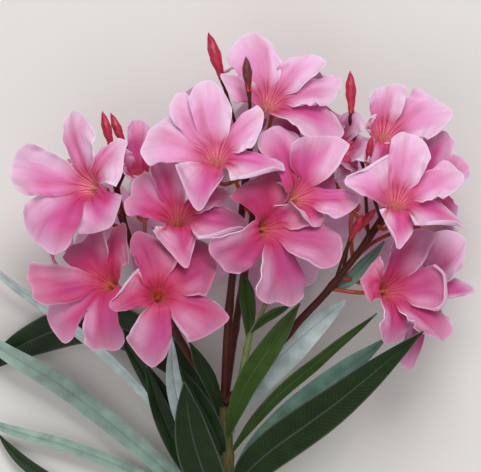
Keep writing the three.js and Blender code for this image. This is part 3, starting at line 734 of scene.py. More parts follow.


# Petal tissue: thin, moist cells with a satin face. It is soft pink, near white towards the tip and the upper
# margin by painted light, deep rose where the petals meet, partly painted shade, with crimson streaks down the
# bell.
def petal_material(colours):
    material, tree = new_material("oleander_petal_tissue")
    facts = {
        fact: add_node(tree, "ShaderNodeAttribute", output="Fac", attribute_name=fact)
        for fact in ("run", "along", "across", "tone", "under", "seed")
    }
    for name, (wide, long, detail, roughness) in PETAL_NOISES.items():
        x = add_node(tree, "ShaderNodeMath", {0: facts["across"], 1: wide}, operation="MULTIPLY")
        y = add_node(tree, "ShaderNodeMath", {0: facts["along"], 1: long}, operation="MULTIPLY")
        place = add_node(tree, "ShaderNodeCombineXYZ", {"X": x, "Y": y, "Z": facts["seed"]})
        facts[name] = add_node(tree, "ShaderNodeTexNoise", {
            "Vector": place, "Scale": 1.0, "Detail": detail, "Roughness": roughness,
        })
    wander = add_node(tree, "ShaderNodeMath", {0: facts["veins"], 1: STREAK_WANDER, 2: facts["seed"]},
                      operation="MULTIPLY_ADD")
    turns = add_node(tree, "ShaderNodeMath", {0: facts["across"], 1: STREAK_TURNS, 2: wander},
                     operation="MULTIPLY_ADD")
    lines = add_node(tree, "ShaderNodeMath", {0: turns}, operation="SINE")
    facts["streaks"] = add_node(tree, "ShaderNodeMath", {0: facts["bands"], 1: STREAK_BREAKS, 2: lines},
                                operation="MULTIPLY_ADD")
    shares = {}
    for name, (fact, start, stop, first, last, change) in PETAL_SHARES.items():
        shares[name] = add_node(tree, "ShaderNodeMapRange", {
            "Value": facts[fact], "From Min": start, "From Max": stop, "To Min": first, "To Max": last,
        }, interpolation_type=change)

    # Paleness and rim are painted light. They follow the petal's end and, clear of the bell, its clockwise
    # margin, which lies on top and catches the light. Both are weaker in a deep bloom.
    for name in ("pale", "rim"):
        side = add_node(tree, "ShaderNodeMath", {0: shares[name + "_side"], 1: shares["blade"]},
                        operation="MULTIPLY")
        most = add_node(tree, "ShaderNodeMath", {0: side, 1: shares[name + "_end"]}, operation="MAXIMUM")
        shares[name] = add_node(tree, "ShaderNodeMath", {0: most, 1: shares[name + "_hold"]},
                                operation="MULTIPLY")
    shares["streak"] = add_node(tree, "ShaderNodeMath", {0: shares["streak"], 1: shares["streak_hold"]},
                                operation="MULTIPLY")

    body, wall, throat = (
        add_node(tree, "ShaderNodeMix", {SHARE: facts["tone"], FIRST: light, SECOND: deep},
                 output=MIXED, data_type="RGBA")
        for light, deep in ((colours.petal_light, colours.petal_deep), (colours.bell_wall, colours.deep_wall),
                            (colours.pale_throat, colours.throat)))
    # Colours laid over the body, the lowest first. The palest blooms are milky all over, partly painted light
    # like their tone. The bands are painted shade of soft folds, the heart's deep rose is partly painted
    # shade, the pale margin and end are painted light, the bell's wall is salmon, a petal's back is paler, and
    # the thin rim is painted light coming through it.
    for name, colour in (("milk", colours.petal_pale), ("fold_shade", colours.petal_heart),
                         ("heart", colours.petal_heart), ("pale", colours.petal_pale),
                         ("vein", colours.petal_heart), ("wall", wall), ("streak", colours.petal_streak),
                         ("throat", throat), ("back", colours.petal_pale), ("rim", colours.petal_rim)):
        body = add_node(tree, "ShaderNodeMix", {SHARE: shares[name], FIRST: body, SECOND: colour},
                        output=MIXED, data_type="RGBA")
    bump = add_node(tree, "ShaderNodeBump", {"Height": facts["veins"], "Strength": 0.2, "Distance": 0.4 * MM})
    shader = add_node(tree, "ShaderNodeBsdfPrincipled", {
        "Base Color": body, "Roughness": 0.55, "Normal": bump, "Specular IOR Level": 0.35,
        "Subsurface Weight": 0.25, "Subsurface Radius": (1.0, 0.45, 0.6), "Subsurface Scale": 0.8 * MM,
        "Sheen Weight": 0.1, "Sheen Roughness": 0.4,
    })
    add_node(tree, "ShaderNodeOutputMaterial", {"Surface": shader}, output=None)
    return material


# Plain plant tissue with one colour that darkens and lightens in small patches.
def tissue_material(name, colour, patch_size, relief, roughness, gloss, deep=None):
    """patch_size and relief are metres. deep is the colour in the deepest blooms, where it is another one."""
    material, tree = new_material(name)
    tinted = tuple(colour)
    if deep:
        tone = add_node(tree, "ShaderNodeAttribute", output="Fac", attribute_name="tone")
        tinted = add_node(tree, "ShaderNodeMix", {SHARE: tone, FIRST: tinted, SECOND: tuple(deep)},
                          output=MIXED, data_type="RGBA")
    place = add_node(tree, "ShaderNodeTexCoord", output="Object")
    patches = add_node(tree, "ShaderNodeTexNoise", {"Vector": place, "Scale": 1 / patch_size, "Detail": 4})
    value = add_node(tree, "ShaderNodeMapRange", {
        "Value": patches, "From Min": 0.25, "From Max": 0.75, "To Min": 0.7, "To Max": 1.35,
    })
    tinted = add_node(tree, "ShaderNodeHueSaturation", {"Color": tinted, "Value": value})
    bump = add_node(tree, "ShaderNodeBump", {"Height": patches, "Strength": 0.4, "Distance": relief})
    shader = add_node(tree, "ShaderNodeBsdfPrincipled", {
        "Base Color": tinted, "Roughness": roughness, "Normal": bump, "Specular IOR Level": gloss,
    })
    add_node(tree, "ShaderNodeOutputMaterial", {"Surface": shader}, output=None)
    return material


# Width of a leaf's lighter and darker patches, in millimetres
LEAF_PATCH = 6.25
# Side veins lie about a sixtieth of the leaf's length apart and slant towards its tip: radians along the
# leaf, and how much further on a vein reaches the margin, as a share of the length
SIDE_VEIN_TURNS = 380.0
SIDE_VEIN_SLANT = 0.06
# Lines on a leaf: what they follow, where that starts and stops to change, the share at both ends and how it
# changes. Their colour is the upper face's, times a factor and lifted towards white.
LEAF_LINES = {
    "side veins": ("waves", 0.4, 1.0, 0.0, 0.07, "LINEAR", 0.5, 0.12),
    "midrib": ("side", 0.02, 0.075, 0.75, 0.0, "SMOOTHSTEP", 0.6, 0.06),
    "margin": ("side", 0.9, 0.98, 0.0, 0.6, "LINEAR", 0.8, 0.12),
}


# Leathery leaf: a waxed upper face with a dull gloss, a narrow midrib and close side veins that run
# almost straight to the margin, and a duller, paler face below.
def leaf_material(tint):
    upper, lower = (linear(hex_colour) for hex_colour in LEAF_TINTS[tint])
    material, tree = new_material("oleander_leaf_" + tint)
    along, across, under = (
        add_node(tree, "ShaderNodeAttribute", output="Fac", attribute_name=fact)
        for fact in ("along", "across", "under"))
    side = add_node(tree, "ShaderNodeMath", {0: across}, operation="ABSOLUTE")
    faces = add_node(tree, "ShaderNodeMix", {SHARE: under, FIRST: upper, SECOND: lower},
                     output=MIXED, data_type="RGBA")
    place = add_node(tree, "ShaderNodeTexCoord", output="Object")
    patches = add_node(tree, "ShaderNodeTexNoise", {
        "Vector": place, "Scale": 1 / (LEAF_PATCH * MM), "Detail": 3,
    })
    value = add_node(tree, "ShaderNodeMapRange", {
        "Value": patches, "From Min": 0.3, "From Max": 0.7, "To Min": 0.78, "To Max": 1.25,
    })
    faces = add_node(tree, "ShaderNodeHueSaturation", {"Color": faces, "Value": value})
    slant = add_node(tree, "ShaderNodeMath", {0: side, 1: -SIDE_VEIN_SLANT, 2: along},
                     operation="MULTIPLY_ADD")
    turns = add_node(tree, "ShaderNodeMath", {0: slant, 1: SIDE_VEIN_TURNS}, operation="MULTIPLY")
    waves = add_node(tree, "ShaderNodeMath", {0: turns}, operation="SINE")
    followed = {"waves": waves, "side": side}
    for follows, start, stop, first, last, change, factor, lift in LEAF_LINES.values():
        share = add_node(tree, "ShaderNodeMapRange", {
            "Value": followed[follows], "From Min": start, "From Max": stop, "To Min": first, "To Max": last,
        }, interpolation_type=change)
        colour = tuple(factor * part + lift for part in upper[:3]) + (1.0,)
        faces = add_node(tree, "ShaderNodeMix", {SHARE: share, FIRST: faces, SECOND: colour},
                         output=MIXED, data_type="RGBA")
    bump = add_node(tree, "ShaderNodeBump", {"Height": waves, "Strength": 0.2, "Distance": 0.15 * MM})
    roughness = add_node(tree, "ShaderNodeMapRange", {
        "Value": under, "From Min": 0.0, "From Max": 1.0, "To Min": 0.42, "To Max": 0.7,
    })
    shader = add_node(tree, "ShaderNodeBsdfPrincipled", {
        "Base Color": faces, "Roughness": roughness, "Normal": bump, "Specular IOR Level": 0.22,
    })
    add_node(tree, "ShaderNodeOutputMaterial", {"Surface": shader}, output=None)
    return material


# Width of the patches on a tube, and the distances behind the bell over which it turns to calyx and then to
# stalk, in millimetres
TUBE_PATCH = 2
TUBE_TURNS = {"calyx": (4, 8), "pedicel": (12, 22)}


# A bloom's tube is thin pink-red tissue. Its calyx is a firm brown-red cup, and the stalk below is
# smooth and brown-red. The colours change with the distance behind the bell.
def tube_material(colours):
    material, tree = new_material("oleander_flower_tube")
    along = add_node(tree, "ShaderNodeAttribute", output="Fac", attribute_name="along")
    place = add_node(tree, "ShaderNodeTexCoord", output="Object")
    body = colours.tube
    for part, (start, stop) in TUBE_TURNS.items():
        share = add_node(tree, "ShaderNodeMapRange",
                         {"Value": along, "From Min": start * MM, "From Max": stop * MM})
        body = add_node(tree, "ShaderNodeMix", {SHARE: share, FIRST: body, SECOND: getattr(colours, part)},
                        output=MIXED, data_type="RGBA")
    patches = add_node(tree, "ShaderNodeTexNoise", {
        "Vector": place, "Scale": 1 / (TUBE_PATCH * MM), "Detail": 3,
    })
    value = add_node(tree, "ShaderNodeMapRange", {
        "Value": patches, "From Min": 0.3, "From Max": 0.7, "To Min": 0.8, "To Max": 1.25,
    })
    body = add_node(tree, "ShaderNodeHueSaturation", {"Color": body, "Value": value})
    bump = add_node(tree, "ShaderNodeBump", {"Height": patches, "Strength": 0.3, "Distance": 0.1 * MM})
    shader = add_node(tree, "ShaderNodeBsdfPrincipled", {
        "Base Color": body, "Roughness": 0.5, "Normal": bump, "Subsurface Weight": 0.1,
        "Subsurface Radius": (1.0, 0.4, 0.4), "Subsurface Scale": 1 * MM,
    })
    add_node(tree, "ShaderNodeOutputMaterial", {"Surface": shader}, output=None)
    return material


# The bark's streaks: how many of them to a limb's radius, which makes them about 1 mm wide on the stem, and
# how many radii a metre along it counts as, which makes them 5 to 6 mm long
BARK_STREAKS = 3
BARK_STRETCH = 60.0


# Young bark: smooth, olive and brown in long streaks, with a dull wax bloom.
def bark_material(colours):
    material, tree = new_material("oleander_young_bark")
    along, around = (
        add_node(tree, "ShaderNodeAttribute", output="Fac", attribute_name=fact)
        for fact in ("along", "around"))
    turn = add_node(tree, "ShaderNodeMath", {0: around, 1: CIRCLE}, operation="MULTIPLY")
    sine, cosine = (
        add_node(tree, "ShaderNodeMath", {0: turn}, operation=operation) for operation in ("SINE", "COSINE"))
    run = add_node(tree, "ShaderNodeMath", {0: along, 1: BARK_STRETCH}, operation="MULTIPLY")
    place = add_node(tree, "ShaderNodeCombineXYZ", {"X": sine, "Y": cosine, "Z": run})
    grain = add_node(tree, "ShaderNodeTexNoise", {"Vector": place, "Scale": BARK_STREAKS, "Detail": 5})
    share = add_node(tree, "ShaderNodeMapRange", {"Value": grain, "From Min": 0.35, "From Max": 0.68})
    body = add_node(tree, "ShaderNodeMix", {SHARE: share, FIRST: colours.bark, SECOND: colours.brown_bark},
                    output=MIXED, data_type="RGBA")
    bump = add_node(tree, "ShaderNodeBump", {"Height": grain, "Strength": 0.5, "Distance": 0.3 * MM})
    shader = add_node(tree, "ShaderNodeBsdfPrincipled",
                      {"Base Color": body, "Roughness": 0.6, "Normal": bump})
    add_node(tree, "ShaderNodeOutputMaterial", {"Surface": shader}, output=None)
    return material


# Plain tissues: name, colour, size of the patches and relief in millimetres, roughness, gloss, and the colour
# in the deepest blooms or youngest buds where that is another one
TISSUES = {
    "fringe": ("oleander_throat_fringe", "fringe", 1, 0.1, 0.6, 0.3, "deep_fringe"),
    "anther": ("oleander_anther", "anther", 1, 0.1, 0.7, 0.3, "deep_anther"),
    "bud": ("oleander_rolled_bud", "bud", 3, 0.1, 0.42, 0.5, "dark_bud"),
    "calyx": ("oleander_calyx", "calyx", 2, 0.1, 0.5, 0.5, None),
    "flower_stalk": ("oleander_flower_stalk", "flower_stalk", 4, 0.2, 0.5, 0.3, None),
    "green_shoot": ("oleander_green_shoot", "green_shoot", 5, 0.2, 0.5, 0.5, None),
    "wood": ("oleander_cut_wood", "wood", 0.8, 0.1, 0.8, 0.2, None),
}
FINISHES = {}


def finish(name):
    """A finish by name, made when it is first asked for."""
    if name in FINISHES:
        return FINISHES[name]
    colours = bpy.context.scene.oleander_colours
    if name in TISSUES:
        title, colour, patch_size, relief, roughness, gloss, deep = TISSUES[name]
        FINISHES[name] = tissue_material(title, getattr(colours, colour), patch_size * MM, relief * MM,
                                         roughness, gloss, deep and getattr(colours, deep))
    elif name in LEAF_TINTS:
        FINISHES[name] = leaf_material(name)
    else:
        build = {"petal": petal_material, "tube": tube_material, "stem": bark_material}[name]
        FINISHES[name] = build(colours)
    return FINISHES[name]


class Gathered:
    """Meshes gathered into one piece, with each corner's place on its petal, leaf or stalk as attributes."""

    FACTS = ("run", "along", "across", "around", "tone", "under", "seed")

    def __init__(self):
        self.corners = []
        self.faces = []
        self.finishes = []
        self.facts = {fact: [] for fact in self.FACTS}
        self.names = []

    def add(self, corners, faces, finish_name, **facts):
        """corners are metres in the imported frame. Nothing reaches below the surface that the branch lies on,
        and a fact is one number or one for each corner."""
        corners = np.array(corners, float)
        corners[:, 2] = np.maximum(corners[:, 2], 0)
        start = sum(len(part) for part in self.corners)
        if finish_name not in self.names:
            self.names.append(finish_name)
        self.corners.append(corners)
        self.faces += [tuple(start + corner for corner in face) for face in faces]
        self.finishes += [self.names.index(finish_name)] * len(faces)
        for fact in self.FACTS:
            self.facts[fact].append(np.broadcast_to(np.asarray(facts.get(fact, 0.0), float), len(corners)))

    def add_mesh(self, mesh, matrix, finish_name, **facts):
        """A copy of a Blender mesh, with any of the facts that it carries as attributes."""
        corners = np.array([matrix @ corner.co for corner in mesh.vertices])
        for fact in self.FACTS:
            held = mesh.attributes.get(fact)
            if held is not None and fact not in facts and held.domain == "POINT":
                values = np.zeros(len(mesh.vertices), np.float32)
                held.data.foreach_get("value", values)
                facts[fact] = values
        self.add(corners, [tuple(face.vertices) for face in mesh.polygons], finish_name, **facts)

    def piece(self, name, nodes, slot, sharp_degrees=50):
        mesh = bpy.data.meshes.new(name)
        mesh.from_pydata(np.concatenate(self.corners), [], self.faces)
        for fact, parts in self.facts.items():
            held = mesh.attributes.new(fact, "FLOAT", "POINT")
            held.data.foreach_set("value", np.concatenate(parts).astype(np.float32))
        for finish_name in self.names:
            mesh.materials.append(finish(finish_name))
        mesh.polygons.foreach_set("material_index", self.finishes)
        mesh.shade_smooth()
        mesh.set_sharp_from_angle(angle=math.radians(sharp_degrees))
        mesh.update()
        piece = bpy.data.objects.new(name, mesh)
        bpy.context.scene.collection.objects.link(piece)
        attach(piece, "root")
        if nodes:
            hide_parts(*nodes)
        return piece


def packed(points):
    """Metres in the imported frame, from table millimetres."""
    return (np.asarray(points, float) + SHIFT) * MM


def closed_sheet(rows, above, below):
    """A thin closed body round a grid of points. above and below are its half thicknesses."""
    count, width = rows.shape[:2]
    normals = unit(np.cross(np.gradient(rows, axis=1), np.gradient(rows, axis=0)))
    top = (rows + normals * np.broadcast_to(above, rows.shape[:2])[..., None]).reshape(-1, 3)
    bottom = (rows - normals * np.broadcast_to(below, rows.shape[:2])[..., None]).reshape(-1, 3)
    size = count * width
    faces = []
    for row in range(count - 1):
        for column in range(width - 1):
            here = row * width + column
            loop = (here, here + 1, here + width + 1, here + width)
            faces.append(loop)
            faces.append(tuple(size + corner for corner in reversed(loop)))
    last = (count - 1) * width
    for column in range(width - 1):
        faces.append((size + column, size + column + 1, column + 1, column))
        far = last + column
        faces.append((far, far + 1, size + far + 1, size + far))
    for row in range(count - 1):
        near = row * width
        faces.append((near, near + width, size + near + width, size + near))
        far = near + width - 1
        faces.append((size + far, size + far + width, far + width, far))
    return np.concatenate((top, bottom)), faces


def closed_rings(rings, sides):
    """Faces of a tube of rings, with a corner after them at the middle of its start and one of its end."""
    faces = []
    for ring in range(rings - 1):
        for side in range(sides):
            here, beside = ring * sides + side, ring * sides + (side + 1) % sides
            faces.append((here, beside, beside + sides, here + sides))
    last, start_middle = (rings - 1) * sides, rings * sides
    for side in range(sides):
        beside = (side + 1) % sides
        faces.append((beside, side, start_middle))
        faces.append((last + side, last + beside, start_middle + 1))
    return faces


def flower_frame(bloom):
    """Middle of the mouth, the bell's axis and two directions across it. In a bloom that looks up, or whose
    bell's axis is given, the mouth lies aside of the throat along the bell's lean."""
    mouth = np.array(bloom["throat"], float)
    axis = unit(np.array(bloom["faces"], float))
    if axis[2] > LOOKS_UP or "looks" in bloom:
        axis = unit(np.array(bloom.get("looks", axis * [BELL_LEAN, BELL_LEAN, 1]), float))
        mouth = mouth + axis * [1, 1, 0] * bloom.get("aside", MOUTH_ASIDE)
    first = unit(np.cross([1.0, 0.0, 0.0], axis))
    return mouth, axis, first, np.cross(axis, first)


def blade_foot(bloom, tip):
    """Points down the bell's wall below a petal, the last of them its blade's foot."""
    mouth, axis, _, _ = flower_frame(bloom)
    outward = unit(tip - mouth - axis * np.dot(tip - mouth, axis))
    size = bloom.get("size", 1)
    return [mouth + (outward * radius + axis * height) * size for radius, height in BELL_WALL]


def plain_corners(width):
    return [(share, side * width / 2) for share, side in zip(EVEN_CORNERS, (-1, 1))]


def seen_corner(bloom, tip, corner):
    """A corner's share of the blade's length and its sideways place, from where it lies seen from above."""
    foot = blade_foot(bloom, tip)[-1]
    reach = tip - foot
    across = unit(np.cross(reach, flower_frame(bloom)[1]))
    seen = np.array(bloom["throat"][:2], float) + corner - foot[:2]
    share, side = np.linalg.solve(np.array([reach[:2], across[:2]]).T, seen)
    return min(max(share, LEAST_SHARE), MOST_SHARE), min(max(side, -MOST_SIDE), MOST_SIDE)


def bloom_petals(bloom):
    """Tip, both end corners and bend of each petal."""
    throat = np.array(bloom["throat"], float)
    petals = []
    if "petals" not in bloom:
        axis = Vector(bloom["faces"]).normalized()
        first = Vector((1, 0, 0)).cross(axis).normalized()
        for petal in range(PETALS):
            turn = Matrix.Rotation(math.radians(bloom["spin"] + 360 / PETALS * petal), 3, axis)
            reach = (turn @ first) * bloom["reach"] - axis * bloom["lift"]
            petals.append((throat + reach, plain_corners(EVEN_PETAL_WIDTH), "open"))
        return petals
    for row in bloom["petals"]:
        if len(row) == 3:
            reach, width, bend = row
            petals.append((throat + reach, plain_corners(width), bend))
        else:
            left, reach, right, bend = row
            tip = throat + reach
            petals.append((tip, [seen_corner(bloom, tip, corner) for corner in (left, right)], bend))
    return petals


def petal_angles(bloom, tips):
    """For each petal, the direction of its middle round the axis and of the seams on either side."""
    mouth, axis, first, second = flower_frame(bloom)
    middles = [math.atan2(np.dot(tip - mouth, second), np.dot(tip - mouth, first)) for tip in tips]
    angles = []
    for middle in middles:
        gaps = sorted((other - middle) % CIRCLE for other in middles if other != middle)
        ahead = min(gaps[0], WIDEST_SECTOR) / 2
        behind = min(CIRCLE - gaps[-1], WIDEST_SECTOR) / 2
        angles.append((middle - behind, middle, middle + ahead))
    return angles


def rolled(place, strip, angle):
    """Where a strip that ends at 1 comes to lie, and its height, when its first part rolls over by an angle
    and the rest runs straight on."""
    over = np.clip(place - (1 - strip), 0, None)
    arc = np.minimum(over, ROLL_SHARE * strip)
    turn = angle * arc / (ROLL_SHARE * strip)
    straight = over - arc
    seen = arc * np.sinc(turn / math.pi) + straight * np.cos(angle)
    height = arc * turn / 2 * np.sinc(turn / CIRCLE) ** 2 + straight * np.sin(angle)
    return place - over + seen, height


def end_outline(corners, length, v):
    """Share of the length and sideways place of the petal's end, from its left corner at v = -1 through the
    tip to its right corner. It is rounded between them where they stand near the tip."""
    points = [None, None, (length, 0), None, None]
    for (share, side), corner, middle in zip(corners, (0, 4), (1, 3)):
        bulge = LEAST_BULGE + MORE_BULGE * smooth_step(*BULGE_GROWS, share)
        points[corner] = (share * length, side)
        points[middle] = ((1 + share) / 2 * length + abs(side) * bulge,
                          side / 2 + math.copysign((1 - share) * length * bulge, side))
    drawn = curve_points(points, count=81)
    steps = np.linspace(-1, 1, len(drawn))
    return np.interp(v, steps, drawn[:, 0]) / length, np.interp(v, steps, drawn[:, 1])


def petal_rows(bloom, petal, angles, counts, chance):
    """Grid of points of one petal from the neck of the bell to its tip, with each point's distance from the
    neck, each row's share of the blade and each column's place across it."""
    mouth, axis, first, second = flower_frame(bloom)
    tip, corners, bend_name = petal
    bend = {**UNROLLED, **PETAL_BENDS[bend_name]}
    rows, columns = counts

    # The middle line runs up the bell's wall, over a crest and out past the tip
    wall = blade_foot(bloom, tip)
    length = np.linalg.norm(tip - wall[-1])
    crest = (wall[-1] + tip) / 2 + axis * length * PETAL_ARCH
    beyond = tip + unit(tip - crest) * length * TIP_BEYOND
    steps = 30
    drawn = curve_points(wall + [crest, tip, beyond], steps * (len(wall) + 2) + 1)
    runs = run_lengths(drawn)
    bell_run, tip_run = runs[steps * (len(wall) - 1)], runs[steps * (len(wall) + 1)]
    tangents = unit(np.gradient(drawn, axis=0))
    facings = unit(axis - tangents * dot(axis, tangents))
    row_run = np.linspace(0, tip_run, rows)[:, None]
    u = np.clip((row_run - bell_run) / (tip_run - bell_run), 0, 1)
    # Columns stand closer together towards the margins
    even = np.linspace(-1, 1, columns)
    v = (0.5 * even + 0.5 * np.sin(even * math.pi / 2))[None, :]
    sets_in = {name: smooth_step(low, high, u) for name, (low, high) in SETS_IN.items()}

    # Outline, with its margins and end rolled over
    rolling = sets_in["rolls"] * (1 - ROLL_FADE * sets_in["end"]) * chance.uniform(*ROLL_VARIES)
    margin_turn = np.where(v < 0, math.radians(bend["left"]), math.radians(bend["right"])) * rolling
    folded, margin_height = rolled(np.abs(v), ROLLED_STRIP, margin_turn)
    folded = np.sign(v) * folded
    end_turn = math.radians(bend["end"]) * smooth_step(bend["end_from"], bend["end_from"] + END_FROM_BLEND, v)
    blade_share, end_height = rolled(u, ROLLED_END, end_turn)
    end_share, end_side = end_outline(corners, length, folded)
    notch_place = chance.uniform(-NOTCH_STRAY, NOTCH_STRAY)
    notch = NOTCH_DEPTH * bell_curve(v - notch_place, NOTCH_WIDTH) * sets_in["end"]
    spread = blade_share ** MARGIN_FULLNESS
    rounding = 1 - CORNER_ROUND * sets_in["end"]
    side = MOUTH_SECTOR * folded * (1 - spread) + end_side * spread * rounding
    half = MOUTH_SECTOR * (1 - spread) + np.where(v < 0, -corners[0][1], corners[1][1]) * spread
    share = blade_share * (end_share - END_FALL * np.abs(v) ** END_FALL_POWER) - notch
    run = np.where(u > 0, bell_run + share * (tip_run - bell_run), row_run + 0 * v)
    centre, tangent, facing = (
        np.stack([np.interp(run, runs, held[:, place]) for place in range(3)], axis=-1)
        for held in (drawn, tangents, facings))
    across = np.cross(tangent, facing)

    # Height over the middle line: rolls, cup and bend, waves of the margins and the end, creases, the groove
    # down the middle and the slope that lays one margin over the next petal
    turns = chance.uniform(*MARGIN_TURNS)
    phases = [chance.uniform(0, 1) for _ in range(4)]
    margin_waves = np.where(v < 0, np.sin(CIRCLE * (turns * u + phases[0])),
                            np.sin(CIRCLE * (turns * RIGHT_MARGIN_FASTER * u + phases[1])))
    margin_waves = margin_waves * np.abs(v) ** MARGIN_WAVE_POWER * sets_in["margin waves"]
    end_waves = np.sin(CIRCLE * (END_TURNS * v + phases[2])) * sets_in["end waves"]
    creases_across, creases_along = CREASE_TURNS
    creases = np.sin(CIRCLE * (creases_across * v + creases_along * u + phases[3])) * sets_in["creases"]
    height = half * margin_height + length * end_share * end_height
    height = height + half * bend["cup"] * v ** 2
    height = height + bend["tip"] * length * sets_in["tip bend"] ** TIP_BEND_POWER
    height = height + bend["wave"] * (margin_waves + END_WAVE_SHARE * end_waves)
    height = height + CREASE_HEIGHT * creases
    height = height - GROOVE_DEPTH * bell_curve(v, GROOVE_WIDTH) * (1 - u) * sets_in["blade"]
    height = height + PINWHEEL_SLOPE * half * v * sets_in["blade"] * (1 - PINWHEEL_FADE * u)
    blade = centre + across * side[..., None] + facing * height[..., None]

    # Below the blade, the petal is its sector of the bell
    behind, middle, ahead = angles
    turn = np.where(v < 0, middle - v * (ahead - middle), middle - v * (middle - behind))[..., None]
    ray = np.cos(turn) * first + np.sin(turn) * second
    rise = dot(centre - mouth, axis)
    distance = np.linalg.norm(centre - mouth - rise * axis, axis=-1, keepdims=True)
    bell = mouth + ray * distance + axis * rise
    leaving = sets_in["clear of the bell"][..., None]
    return bell * (1 - leaving) + blade * leaving, run, u[:, 0], v[0]


def new_tree(name, inputs, output):
    """A Geometry Nodes tree, with the kind and default of each named input, and its inputs' sockets."""
    tree = bpy.data.node_groups.new(name, "GeometryNodeTree")
    tree.is_modifier = True
    for label, (kind, default) in inputs.items():
        socket = tree.interface.new_socket(name=label, in_out="INPUT", socket_type="NodeSocket" + kind)
        if default is not None:
            socket.default_value = default
    tree.interface.new_socket(name=output, in_out="OUTPUT", socket_type="NodeSocketGeometry")
    return tree, add_node(tree, "NodeGroupInput", output=None)


def end_tree(tree, geometry, material):
    """Makes the instances real, gives them their finish and ends the tree."""
    real = add_node(tree, "GeometryNodeRealizeInstances", {"Geometry": geometry})
    finished = add_node(tree, "GeometryNodeSetMaterial", {"Geometry": real, "Material": material})
    add_node(tree, "NodeGroupOutput", {0: finished}, output=None)


def path_limb_tree():
    """Geometry Nodes: a round, slightly uneven limb along a curve with the curve's own radii."""
    tree, given = new_tree("limb_along_path", {
        "Path": ("Geometry", None), "Sides": ("Int", 16), "Relief": ("Float", 0.1 * MM),
        "Relief Scale": ("Float", 300.0), "Finish": ("Material", None),
    }, "Limb")
    run = add_node(tree, "GeometryNodeSplineParameter", output=None)
    path = add_node(tree, "GeometryNodeStoreNamedAttribute",
                    {"Geometry": given["Path"], "Name": "along", "Value": run["Length"]})
    circle = add_node(tree, "GeometryNodeCurvePrimitiveCircle", {"Resolution": given["Sides"], "Radius": 1.0})
    ring = add_node(tree, "GeometryNodeStoreNamedAttribute",
                    {"Geometry": circle, "Name": "around", "Value": run["Factor"]})
    radius = add_node(tree, "GeometryNodeInputRadius")
    skin = add_node(tree, "GeometryNodeCurveToMesh",
                    {"Curve": path, "Profile Curve": ring, "Scale": radius, "Fill Caps": True})
    noise = add_node(tree, "ShaderNodeTexNoise", {"Scale": given["Relief Scale"], "Detail": 2.0})
    centred = add_node(tree, "ShaderNodeMath", {0: noise, 1: -0.5}, operation="ADD")
    height = add_node(tree, "ShaderNodeMath", {0: centred, 1: given["Relief"]}, operation="MULTIPLY")
    normal = add_node(tree, "GeometryNodeInputNormal")
    push = add_node(tree, "ShaderNodeVectorMath", {0: normal, "Scale": height}, operation="SCALE")
    uneven = add_node(tree, "GeometryNodeSetPosition", {"Geometry": skin, "Offset": push})
    end_tree(tree, uneven, given["Finish"])
    return tree


def tooth_ring_tree():
    """Geometry Nodes: narrow pointed teeth in a ring, leaning outwards, each a little unlike the next."""
    tree, given = new_tree("ring_of_teeth", {
        "Count": ("Int", 5), "Ring Radius": ("Float", 1 * MM), "Tooth Length": ("Float", 3 * MM),
        "Tooth Width": ("Float", 0.5 * MM), "Flatness": ("Float", 0.4), "Lean": ("Float", 0.3),
        "Unevenness": ("Float", 0.2), "Seed": ("Int", 1), "Finish": ("Material", None),
    }, "Ring")
    circle = add_node(tree, "GeometryNodeMeshCircle",
                      {"Vertices": given["Count"], "Radius": given["Ring Radius"]})
    half = add_node(tree, "ShaderNodeMath", {0: given["Tooth Width"], 1: 0.5}, operation="MULTIPLY")
    tooth = add_node(tree, "GeometryNodeMeshCone", {
        "Vertices": 8, "Side Segments": 4, "Fill Segments": 1, "Radius Top": 0.02 * MM,
        "Radius Bottom": half, "Depth": given["Tooth Length"],
    })
    index = add_node(tree, "GeometryNodeInputIndex")
    step = add_node(tree, "ShaderNodeMath", {0: CIRCLE, 1: given["Count"]}, operation="DIVIDE")
    turn = add_node(tree, "ShaderNodeMath", {0: index, 1: step}, operation="MULTIPLY")
    least = add_node(tree, "ShaderNodeMath", {0: 1.0, 1: given["Unevenness"]}, operation="SUBTRACT")
    length = add_node(tree, "FunctionNodeRandomValue", {2: least, 3: 1.0, "Seed": given["Seed"]},
                      output=1, data_type="FLOAT")
    rotation = add_node(tree, "ShaderNodeCombineXYZ", {"Y": given["Lean"], "Z": turn})
    scale = add_node(tree, "ShaderNodeCombineXYZ", {"X": given["Flatness"], "Y": 1.0, "Z": length})
    teeth = add_node(tree, "GeometryNodeInstanceOnPoints",
                     {"Points": circle, "Instance": tooth, "Rotation": rotation, "Scale": scale})
    end_tree(tree, teeth, given["Finish"])
    return tree


TREES = {}


def grown_mesh(build_tree, data, values):
    """The mesh that a Geometry Nodes tree makes on an object of its own, which is then removed."""
    if build_tree not in TREES:
        TREES[build_tree] = build_tree()
    tree = TREES[build_tree]
    carrier = bpy.data.objects.new(tree.name, data)
    bpy.context.scene.collection.objects.link(carrier)
    modifier = carrier.modifiers.new(tree.name, "NODES")
    modifier.node_group = tree
    for socket in tree.interface.items_tree:
        if socket.in_out == "INPUT" and socket.name in values:
            modifier[socket.identifier] = values[socket.name]
    depsgraph = bpy.context.evaluated_depsgraph_get()
    mesh = bpy.data.meshes.new_from_object(carrier.evaluated_get(depsgraph))
    bpy.data.objects.remove(carrier)
    return mesh


def limb_mesh(points, radii, sides, finish_name, relief):
    """points and radii are table millimetres."""
    curve = bpy.data.curves.new("path", "CURVE")
    curve.dimensions = "3D"
    spline = curve.splines.new("POLY")
    spline.points.add(len(points) - 1)
    for point, place, radius in zip(spline.points, packed(points), radii):
        point.co = (*place, 1.0)
        point.radius = radius * MM
    return grown_mesh(path_limb_tree, curve, {
        "Sides": sides, "Relief": relief, "Finish": finish(finish_name),
    })


